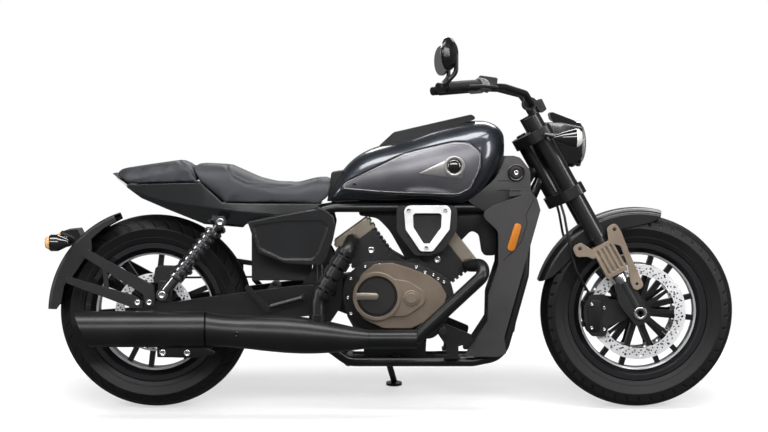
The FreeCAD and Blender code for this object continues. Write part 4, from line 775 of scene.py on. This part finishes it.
def raised_plate(name, corners, node, lift, thickness, material):
    """A thin plate that follows the right side of a node, with bevelled edges."""
    outline = filled_in(softened(corners), 8)
    middle = sum((Vector(point) for point in outline), Vector((0, 0))) / len(outline)
    bpy.ops.object.select_all(action="DESELECT")
    bpy.ops.mesh.primitive_circle_add(vertices=len(outline), fill_type="TRIFAN")
    blade = bpy.context.object
    hub = [vertex for vertex in blade.data.vertices if vertex.co.length < 0.5]
    rim = [vertex for vertex in blade.data.vertices if vertex.co.length > 0.5]
    spots = [tuple(point) for point in outline] + [tuple(middle)]
    for vertex, spot in zip(rim + hub, laid_on(node, spots, lift)):
        vertex.co = spot
    bpy.ops.object.mode_set(mode="EDIT")
    bpy.ops.mesh.select_all(action="SELECT")
    bpy.ops.mesh.subdivide(number_cuts=3)
    bpy.ops.object.mode_set(mode="OBJECT")
    for vertex in blade.data.vertices:
        vertex.co.y = (on_side(node, vertex.co.x * 1000, vertex.co.z * 1000)[0] - lift) / 1000
    wall = blade.modifiers.new("wall", "SOLIDIFY")
    wall.thickness = thickness
    wall.offset = 0
    bpy.ops.object.modifier_apply(modifier=wall.name)
    bpy.ops.object.mode_set(mode="EDIT")
    bpy.ops.mesh.select_all(action="SELECT")
    bpy.ops.mesh.normals_make_consistent(inside=False)
    bpy.ops.object.mode_set(mode="OBJECT")
    rounded_edges(blade, thickness * 0.4)
    return settle(blade, name, "chassis", material)


blade_paint = finish("blade_paint", (0.3, 0.29, 0.285), 0.3, metal=0.85, edge=0.002)
raised_plate("panel_blade", BLADE_CORNERS, "tank_panels", 0.6, 0.0022, blade_paint)
cap_y, cap_facing = on_side("tank_panels", *CAP)
cap_facing = tuple(cap_facing)
turned_ring("cap_ring", (CAP[0], cap_y - 2, CAP[1]), 0.033, CAP_RADIUS, 0.006, "chassis", blade_paint,
            cap_facing)
gloss_black = finish("gloss_black_plastic", (0.004, 0.004, 0.0045), 0.1, coat=1.0)
bpy.ops.object.select_all(action="DESELECT")
bpy.ops.mesh.primitive_uv_sphere_add(segments=40, ring_count=20, radius=CAP_RADIUS)
dome = bpy.context.object
dome.scale = (1, 1, CAP_BULGE)
dome.location = Vector((CAP[0], cap_y, CAP[1])) / 1000
dome.rotation_euler = Vector(cap_facing).to_track_quat("Z", "Y").to_euler()
settle(dome, "panel_cap", "chassis", gloss_black)
screw_y, screw_facing = on_side("tank_panels", *PANEL_SCREW)
bolts("panel_screw", [(PANEL_SCREW[0], screw_y - 1, PANEL_SCREW[1])], 0.0055, 0.004, "chassis", gloss_black,
      tuple(screw_facing))


# Seats: charcoal vinyl stretched over foam. Each pad is its solid's shape, drawn in a little and then
# blown up as cloth by a slight pressure, so that its faces crown and its edges round.
# Seams are pressed in afterwards.
def grained_vinyl(vinyl, looks):
    spots = vinyl.node("TexVoronoi", {}, {"Vector": vinyl.place(), "Scale": 900.0})
    folds = vinyl.noise(26.0, 3.0)
    looks["Height"] = spots * 0.3 + folds * 0.25
    looks["Roughness"] = looks["Roughness"] + spots * 0.12
    return looks


vinyl = finish("seat_vinyl", (0.021, 0.022, 0.026), 0.46, recipe=grained_vinyl)
thread = finish("seat_thread", (0.11, 0.11, 0.115), 0.7)
SEAM_DEPTH = 0.0045
SEAM_WIDTH = 0.004
PAD_GRID = 0.005
PAD_DRAWN_IN = 0.003
PAD_SWELL = 0.006
UNDERSIDE_SWELL = 0.001


def distance_to(line, x, z):
    """Distance in millimetres, in the side view, from a line of straight runs."""
    here = Vector((x, z))
    nearest = 1000.0
    for start, end in zip(line, line[1:]):
        start = Vector(start)
        run = Vector(end) - start
        share = max(0, min(1, (here - start).dot(run) / run.length_squared))
        nearest = min(nearest, (here - start - run * share).length)
    return nearest


def upholster(node, name, seams):
    """A pad in place of a seat's solid, its seams pressed in."""
    pad = bpy.data.objects.new(name, nodes[node].data.copy())
    bpy.context.scene.collection.objects.link(pad)
    bpy.ops.object.select_all(action="DESELECT")
    pad.select_set(True)
    bpy.context.view_layer.objects.active = pad
    bpy.ops.object.mode_set(mode="EDIT")
    bpy.ops.mesh.select_all(action="SELECT")
    bpy.ops.mesh.remove_doubles(threshold=0.0001)
    bpy.ops.mesh.normals_make_consistent(inside=False)
    bpy.ops.object.mode_set(mode="OBJECT")
    remesh = pad.modifiers.new("cloth_grid", "REMESH")
    remesh.mode = "VOXEL"
    remesh.voxel_size = PAD_GRID
    bpy.ops.object.modifier_apply(modifier=remesh.name)
    bpy.ops.object.mode_set(mode="EDIT")
    bpy.ops.mesh.select_all(action="SELECT")
    bpy.ops.transform.shrink_fatten(value=-PAD_DRAWN_IN)
    bpy.ops.mesh.vertices_smooth(factor=0.5, repeat=4)
    bpy.ops.object.mode_set(mode="OBJECT")
    flat = [vertex.co.copy() for vertex in pad.data.vertices]
    cloth = pad.modifiers.new("stretch", "CLOTH")
    cloth.settings.use_pressure = True
    cloth.settings.uniform_pressure_force = 4.0
    cloth.settings.effector_weights.gravity = 0
    cloth.settings.quality = 5
    for number in range(1, 21):
        bpy.context.scene.frame_set(number)
    bpy.ops.object.modifier_apply(modifier=cloth.name)
    bpy.context.scene.frame_set(1)
    for vertex, start in zip(pad.data.vertices, flat):
        move = vertex.co - start
        limit = UNDERSIDE_SWELL if vertex.normal.z < -0.6 else PAD_SWELL
        if move.length > limit:
            move *= limit / move.length
        vertex.co = start + move
    bpy.ops.object.mode_set(mode="EDIT")
    bpy.ops.mesh.select_all(action="SELECT")
    bpy.ops.mesh.vertices_smooth(factor=0.5, repeat=5)
    bpy.ops.object.mode_set(mode="OBJECT")
    lean_back = UPRIGHT.inverted()
    for vertex in pad.data.vertices:
        spot = lean_back @ vertex.co
        nearest = min(distance_to(seam, spot.x * 1000, spot.z * 1000) for seam in seams) / 1000
        if abs(spot.y) > 0.03:
            vertex.co -= vertex.normal * SEAM_DEPTH * math.exp(-(nearest / SEAM_WIDTH) ** 2)
    finer = pad.modifiers.new("finer", "SUBSURF")
    finer.levels = 1
    finer.render_levels = 1
    bpy.ops.object.modifier_apply(modifier=finer.name)
    bpy.ops.object.shade_smooth()
    pad.data.materials.clear()
    pad.data.materials.append(vinyl)
    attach(pad, "chassis")
    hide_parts(node)
    return pad


SIDE_SEAM = [(-538, 776), (-534, 769), (-511, 729), (-468, 707), (-415, 702), (-344, 701), (-300, 709),
             (-250, 723)]
SIDE_STITCHES = [(-529, 778), (-524, 769), (-504, 736), (-464, 715), (-414, 710), (-346, 709), (-303, 717),
                 (-254, 731)]
END_STITCHES = [(-626, 716), (-652, 760), (-690, 785)]
rider_pad = upholster("rider_seat", "rider_pad", [SIDE_SEAM])
passenger_pad = upholster("passenger_seat", "passenger_pad", [END_STITCHES])


# Stitches: short lengths of grey thread along the seams, sewn through the vinyl on both sides of a seat.
# One is modelled and copied along each line, seated where the line meets the pad.
STITCH_PITCH = 7


def stitches(name, seams, pad):
    bpy.ops.object.select_all(action="DESELECT")
    bpy.ops.mesh.primitive_cylinder_add(vertices=8, radius=0.0010, depth=0.0048)
    stitch = bpy.context.object
    rounded_edges(stitch, 0.0003, 1)
    copies = []
    bpy.context.view_layer.update()
    inward = UPRIGHT.to_3x3() @ Vector((0, 1, 0))
    for seam in seams:
        for start, end in zip(seam, seam[1:]):
            run = Vector(end) - Vector(start)
            count = max(1, round(run.length / STITCH_PITCH))
            for step in range(count):
                spot = Vector(start) + run * ((step + 0.5) / count)
                for side in (-1, 1):
                    origin = UPRIGHT @ Vector((spot.x / 1000, side * 0.5, spot.y / 1000))
                    hit, touch, way, face = pad.ray_cast(origin, inward * -side)
                    if hit:
                        place = UPRIGHT.inverted() @ touch
                        copies.append(copy_to(stitch, place, (run.x, 0, run.y)))
    settle(joined(copies, stitch), name, "chassis", thread, 60)


stitches("rider_seat_stitches", [SIDE_STITCHES], rider_pad)
stitches("passenger_seat_stitches", [END_STITCHES], passenger_pad)

# Tail and side covers: plastic mouldings in gloss black paint under a wet clear coat.
# The edges are given a wide soft highlight, as thick paint leaves them.
cover_paint = finish("gloss_cover_paint", (0.0045, 0.0048, 0.0055), 0.2, coat=1.0, edge=0.006, grain=0.0,
                     gloss=0.5)
dress(cover_paint, "tail_cover", "side_covers")


# Engine and head covers: cast aluminium in a warm bronze-grey paint.
# A black plate fills the round clutch housing on the right side.
CLUTCH = (-0.061, 0.358)
CLUTCH_PLATE_EDGE = (0.0636, 0.0640)


def clutch_plate(paint, looks):
    radius = paint.reach(*CLUTCH)
    plate = (1 - radius.rise(*CLUTCH_PLATE_EDGE)) * (1 - paint.axis("Y").rise(0.0, 0.01))
    looks["Base Color"] = plate.between(looks["Base Color"], (0.010, 0.009, 0.009, 1))
    looks["Metallic"] = 0.7 - plate * 0.5
    looks["Roughness"] = looks["Roughness"] + plate * 0.08
    return looks


bronze_cover = finish("bronze_cover_paint", (0.17, 0.135, 0.105), 0.42, edge=0.003, grain=0.15,
                      recipe=clutch_plate)
dress(bronze_cover, "engine_covers")
bronze_head = finish("bronze_head_paint", (0.19, 0.165, 0.13), 0.42, metal=0.7, edge=0.005, grain=0.15)
dress(bronze_head, "head_covers")


# Cylinders: ribbed barrels in black coat, with one large bright bolt on the face of each.
# The coat's gloss shifts a little from rib to rib.
RIB_PITCH = 0.016


def rib_lines(coat, looks):
    along = coat.maths("FRACT", coat.axis("Z") / RIB_PITCH)
    looks["Roughness"] = looks["Roughness"] + along * 0.03
    return looks


dress(finish("black_barrel_coat", (0.0075, 0.0072, 0.0075), 0.42, grain=0.2, recipe=rib_lines), "cylinders")
CYLINDER_BOLTS = [(-79, -99, 500), (128, -99, 470)]
bolts("cylinder_bolts", CYLINDER_BOLTS, 0.0105, 0.007, "chassis", bolt_steel)

# Cover flange: a dark cast flange behind the bronze cover, a little wider than it all round.
# Bright screws stand on its rim, at (x, z) in millimetres.
FLANGE = [(-170, 355, 30), (-152, 292, 30), (-104, 254, 30), (-40, 250, 30), (60, 258, 40), (150, 300, 40),
          (184, 345, 20), (168, 408, 18), (100, 446, 18), (58, 462, 14), (-30, 468, 14), (-100, 466, 24),
          (-156, 424, 30)]
flange_coat = finish("flange_coat", (0.014, 0.013, 0.0125), 0.38, metal=0.5, edge=0.002)
moulding("cover_flange", FLANGE, (-122, -108), 0.003, "chassis", flange_coat)
COVER_SCREWS = [(-45, 268), (-142, 303), (-152, 353), (-142, 412), (-97, 450), (-52, 456), (-30, 453),
                (28, 445), (62, 448), (89, 432), (115, 424), (130, 412), (148, 402), (164, 341)]
bolts("cover_screws", [(x, -124, z) for x, z in COVER_SCREWS], 0.0048, 0.007, "chassis", bolt_steel)

# Coil cover: a plain black plastic moulding under the top rails, which fills the space between and
# behind the two cylinders. It stands in for parts that are not modelled.
COIL_COVER = [(-118, 642, 10), (302, 642, 20), (318, 600, 20), (314, 480, 14), (272, 480, 14), (262, 545, 14),
              (236, 560, 14), (130, 450, 20), (40, 450, 20), (-22, 560, 20), (-60, 598, 14), (-118, 606, 10)]
coil_cover_look = finish("coil_cover_plastic", (0.006, 0.006, 0.0065), 0.45)
moulding("coil_cover", COIL_COVER, (-52, 52), 0.004, "chassis", coil_cover_look)

# Clutch bar: a plain bronze bar across the black plate of the clutch housing.
# It is a block with its front corners rounded wide in the side view and all its edges eased.
BAR_PLACE = (-0.094, -0.1505, 0.3585)
BAR_SIZE = (0.076, 0.006, 0.022)


def rounded_block(place, size, radius, segments, ease, front_only=False):
    """A block whose corners in the side view are rounded, all four or the two in front."""
    bpy.ops.object.select_all(action="DESELECT")
    bpy.ops.mesh.primitive_cube_add(size=1, location=place, scale=size)
    block = bpy.context.object
    bpy.ops.object.transform_apply(location=False, rotation=False, scale=True)
    bpy.ops.object.mode_set(mode="EDIT")
    bpy.ops.mesh.select_mode(type="EDGE")
    bpy.ops.mesh.select_all(action="DESELECT")
    shape = bmesh.from_edit_mesh(block.data)
    for edge in shape.edges:
        one, two = (vertex.co for vertex in edge.verts)
        across = abs(one.y - two.y) > 0.001
        if across and (one.x > 0 or not front_only):
            edge.select_set(True)
    bmesh.update_edit_mesh(block.data)
    bpy.ops.mesh.bevel(offset=radius, segments=segments)
    bpy.ops.object.mode_set(mode="OBJECT")
    rounded_edges(block, ease)
    return block


bar_paint = finish("bar_paint", (0.26, 0.23, 0.19), 0.35, metal=0.8)
clutch_bar = rounded_block(BAR_PLACE, BAR_SIZE, 0.0108, 8, 0.0012, front_only=True)
settle(clutch_bar, "clutch_bar", "chassis", bar_paint)

# Intake: a satin chromed frame over the black housing on the right side.
# Three silver screws hold it at its corners.
frame_chrome = finish("intake_frame_chrome", (0.86, 0.86, 0.87), 0.2, metal=0.45, coat=0.6, edge=0.003)
dress(frame_chrome, "intake_frame")
INTAKE_SCREWS = [(37.4, 628), (150.4, 627), (92, 512)]
bolts("intake_screws", [(x, -179, z) for x, z in INTAKE_SCREWS], 0.006, 0.005, "chassis", screw_and_edge_highlight_silver)


# Radiator shrouds: dark warm grey satin mouldings, with a joint where two panels of them meet
# and two short vent slots above it.
JOINT = [(0.427, 0.658), (0.402, 0.611), (0.407, 0.583), (0.387, 0.524), (0.333, 0.468)]


def panel_joint(plastic, looks):
    x = plastic.axis("X")
    z = plastic.axis("Z")
    mark = z.band(0.7145, 0.7180, 0.0003).most(z.band(0.6840, 0.6875, 0.0003)) * x.band(0.318, 0.386, 0.0005)
    for (x0, z0), (x1, z1) in zip(JOINT, JOINT[1:]):
        length = math.hypot(x1 - x0, z1 - z0)
        off_line = abs((x - x0) * ((z1 - z0) / length) - (z - z0) * ((x1 - x0) / length))
        mark = mark.most((1 - off_line.rise(0.0007, 0.0013)) * z.band(min(z0, z1), max(z0, z1), 0.0003))
    looks["Height"] = looks["Height"] - mark * 2.5
    looks["Base Color"] = mark.between(looks["Base Color"], (0.002, 0.002, 0.002, 1))
    return looks


shroud_look = finish("shroud_plastic", (0.027, 0.0255, 0.0265), 0.44, edge=0.003, grain=0.12,
                     recipe=panel_joint)
dress(shroud_look, "radiator_shrouds")

# Neck covers: mouldings in the shrouds' plastic, from under the tank towards the head tube.
# Each carries a round hub of two turned rings, with the ignition barrel on the right and a screw on the left.
NECK = [(222, 655, 4), (238, 642, 8), (300, 606, 10), (420, 612, 16), (432, 650, 16), (420, 690, 12),
        (418, 750, 14), (384, 792, 10), (339, 792, 6), (314, 728, 30), (268, 688, 20)]
HUB = (374, 742)
for side, name in ((-1, "right"), (1, "left")):
    neck_depths = (side * 96, side * 81)
    moulding(name + "_neck_cover", NECK, neck_depths, 0.004, "chassis", shroud_look)
    ring_place = (HUB[0], side * 98, HUB[1])
    turned_ring(name + "_hub_ring", ring_place, 0.0275, 0.0205, 0.008, "chassis", gloss_black,
                (0, side, 0))
    inner_place = (HUB[0], side * 97, HUB[1])
    turned_ring(name + "_hub_inner", inner_place, 0.0205, 0.0075, 0.004, "chassis", dark_steel,
                (0, side, 0))
bolts("ignition_barrel", [(HUB[0], -98, HUB[1])], 0.0078, 0.006, "chassis", bolt_steel)
bolts("left_hub_screw", [(HUB[0], 98, HUB[1])], 0.0078, 0.006, "chassis", dark_steel, (0, 1, 0))


# Reflectors: one amber bar on the outer side of each shroud, moulded with fine prisms.
# Each is a block turned to the shroud's slant, with its ends rounded and all its edges eased.
REFLECTOR_PLACE = Vector((0.367, 0.1345, 0.542))
REFLECTOR_SIZE = (0.024, 0.006, 0.088)
REFLECTOR_SLANT = math.radians(16.7)


def moulded_prisms(plastic, looks):
    rows = plastic.maths("SINE", (plastic.axis("Z") + plastic.axis("X")) * 1500)
    columns = plastic.maths("SINE", (plastic.axis("Z") - plastic.axis("X")) * 1500)
    cells = (rows * columns).rise(-0.4, 0.4)
    looks["Base Color"] = cells.between((0.26, 0.075, 0.001, 1), looks["Base Color"])
    looks["Height"] = looks["Height"] + cells * 0.3
    return looks


amber = finish("amber_reflector", (0.46, 0.15, 0.002), 0.3, coat=0.2, edge=0.0006, recipe=moulded_prisms)
for side, name in ((-1, "right_reflector"), (1, "left_reflector")):
    reflector_place = (REFLECTOR_PLACE.x, side * REFLECTOR_PLACE.y, REFLECTOR_PLACE.z)
    reflector = rounded_block(reflector_place, REFLECTOR_SIZE, 0.0105, 6, 0.0015)
    reflector.rotation_euler = (0, REFLECTOR_SLANT, 0)
    settle(reflector, name, "chassis", amber)


# Muffler: a satin black steel can, with a groove where its cone and its can meet.
# One bolt holds its front, and a flat hanger with two bolts carries the can.
CAN_GROOVE = (-0.590, -0.585)


def can_joint(coat, looks):
    groove = coat.axis("X").band(*CAN_GROOVE, 0.0005)
    looks["Height"] = looks["Height"] - groove * 2.0
    looks["Base Color"] = groove.between(looks["Base Color"], (0.001, 0.001, 0.001, 1))
    return looks


muffler_coat = finish("muffler_coat", (0.022, 0.022, 0.023), 0.33, metal=0.7, edge=0.002, grain=0.03,
                      recipe=can_joint)
dress(muffler_coat, "muffler")
MUFFLER_BOLT = (-490, 252)
can_y, can_facing = on_side("muffler", *MUFFLER_BOLT)
bolt_place = (MUFFLER_BOLT[0], can_y, MUFFLER_BOLT[1])
bolts("muffler_bolt", [bolt_place], 0.008, 0.006, "chassis", gloss_black, tuple(can_facing))
HANGER = [(-738, 176, 4), (-738, 214, 4), (-620, 214, 4), (-560, 196, 6), (-560, 186, 4), (-620, 174, 4)]
moulding("muffler_hanger", HANGER, (-226, -218), 0.0015, "chassis", frame_coat)
bolts("hanger_bolts", [(-720, -228, 190), (-645, -228, 189)], 0.0105, 0.006, "chassis", bolt_steel)

# Headers: steel pipes in black coat, with a banded heat shield over the rear one.
# Four rows of slots are drawn and dented across the shield, from its top to its foot.
SHIELD_TOP = Vector((-0.152, 0, 0.504))
SHIELD_FOOT = Vector((-0.239, 0, 0.360))
SLOT_ROWS = 4
SHIELD_BAND = (SHIELD_FOOT - SHIELD_TOP).length / SLOT_ROWS
SHIELD_WAY = (SHIELD_FOOT - SHIELD_TOP).normalized()


def slotted_bands(coat, looks):
    ahead = coat.axis("X") - SHIELD_TOP.x
    above = coat.axis("Z") - SHIELD_TOP.z
    along = ahead * SHIELD_WAY.x + above * SHIELD_WAY.z
    aside = abs(ahead * SHIELD_WAY.z - above * SHIELD_WAY.x)
    row = coat.maths("FRACT", along / SHIELD_BAND + 10).band(0.32, 0.46, 0.03)
    slot = row * along.band(0.0, SHIELD_BAND * SLOT_ROWS, 0.001) * aside.band(0.005, 0.019, 0.0008)
    looks["Height"] = looks["Height"] - slot * 2.5
    looks["Base Color"] = slot.between(looks["Base Color"], (0.001, 0.001, 0.001, 1))
    return looks


header_coat = finish("header_coat", (0.020, 0.020, 0.021), 0.32, metal=0.7, grain=0.08, recipe=slotted_bands)
dress(header_coat, "exhaust_headers")
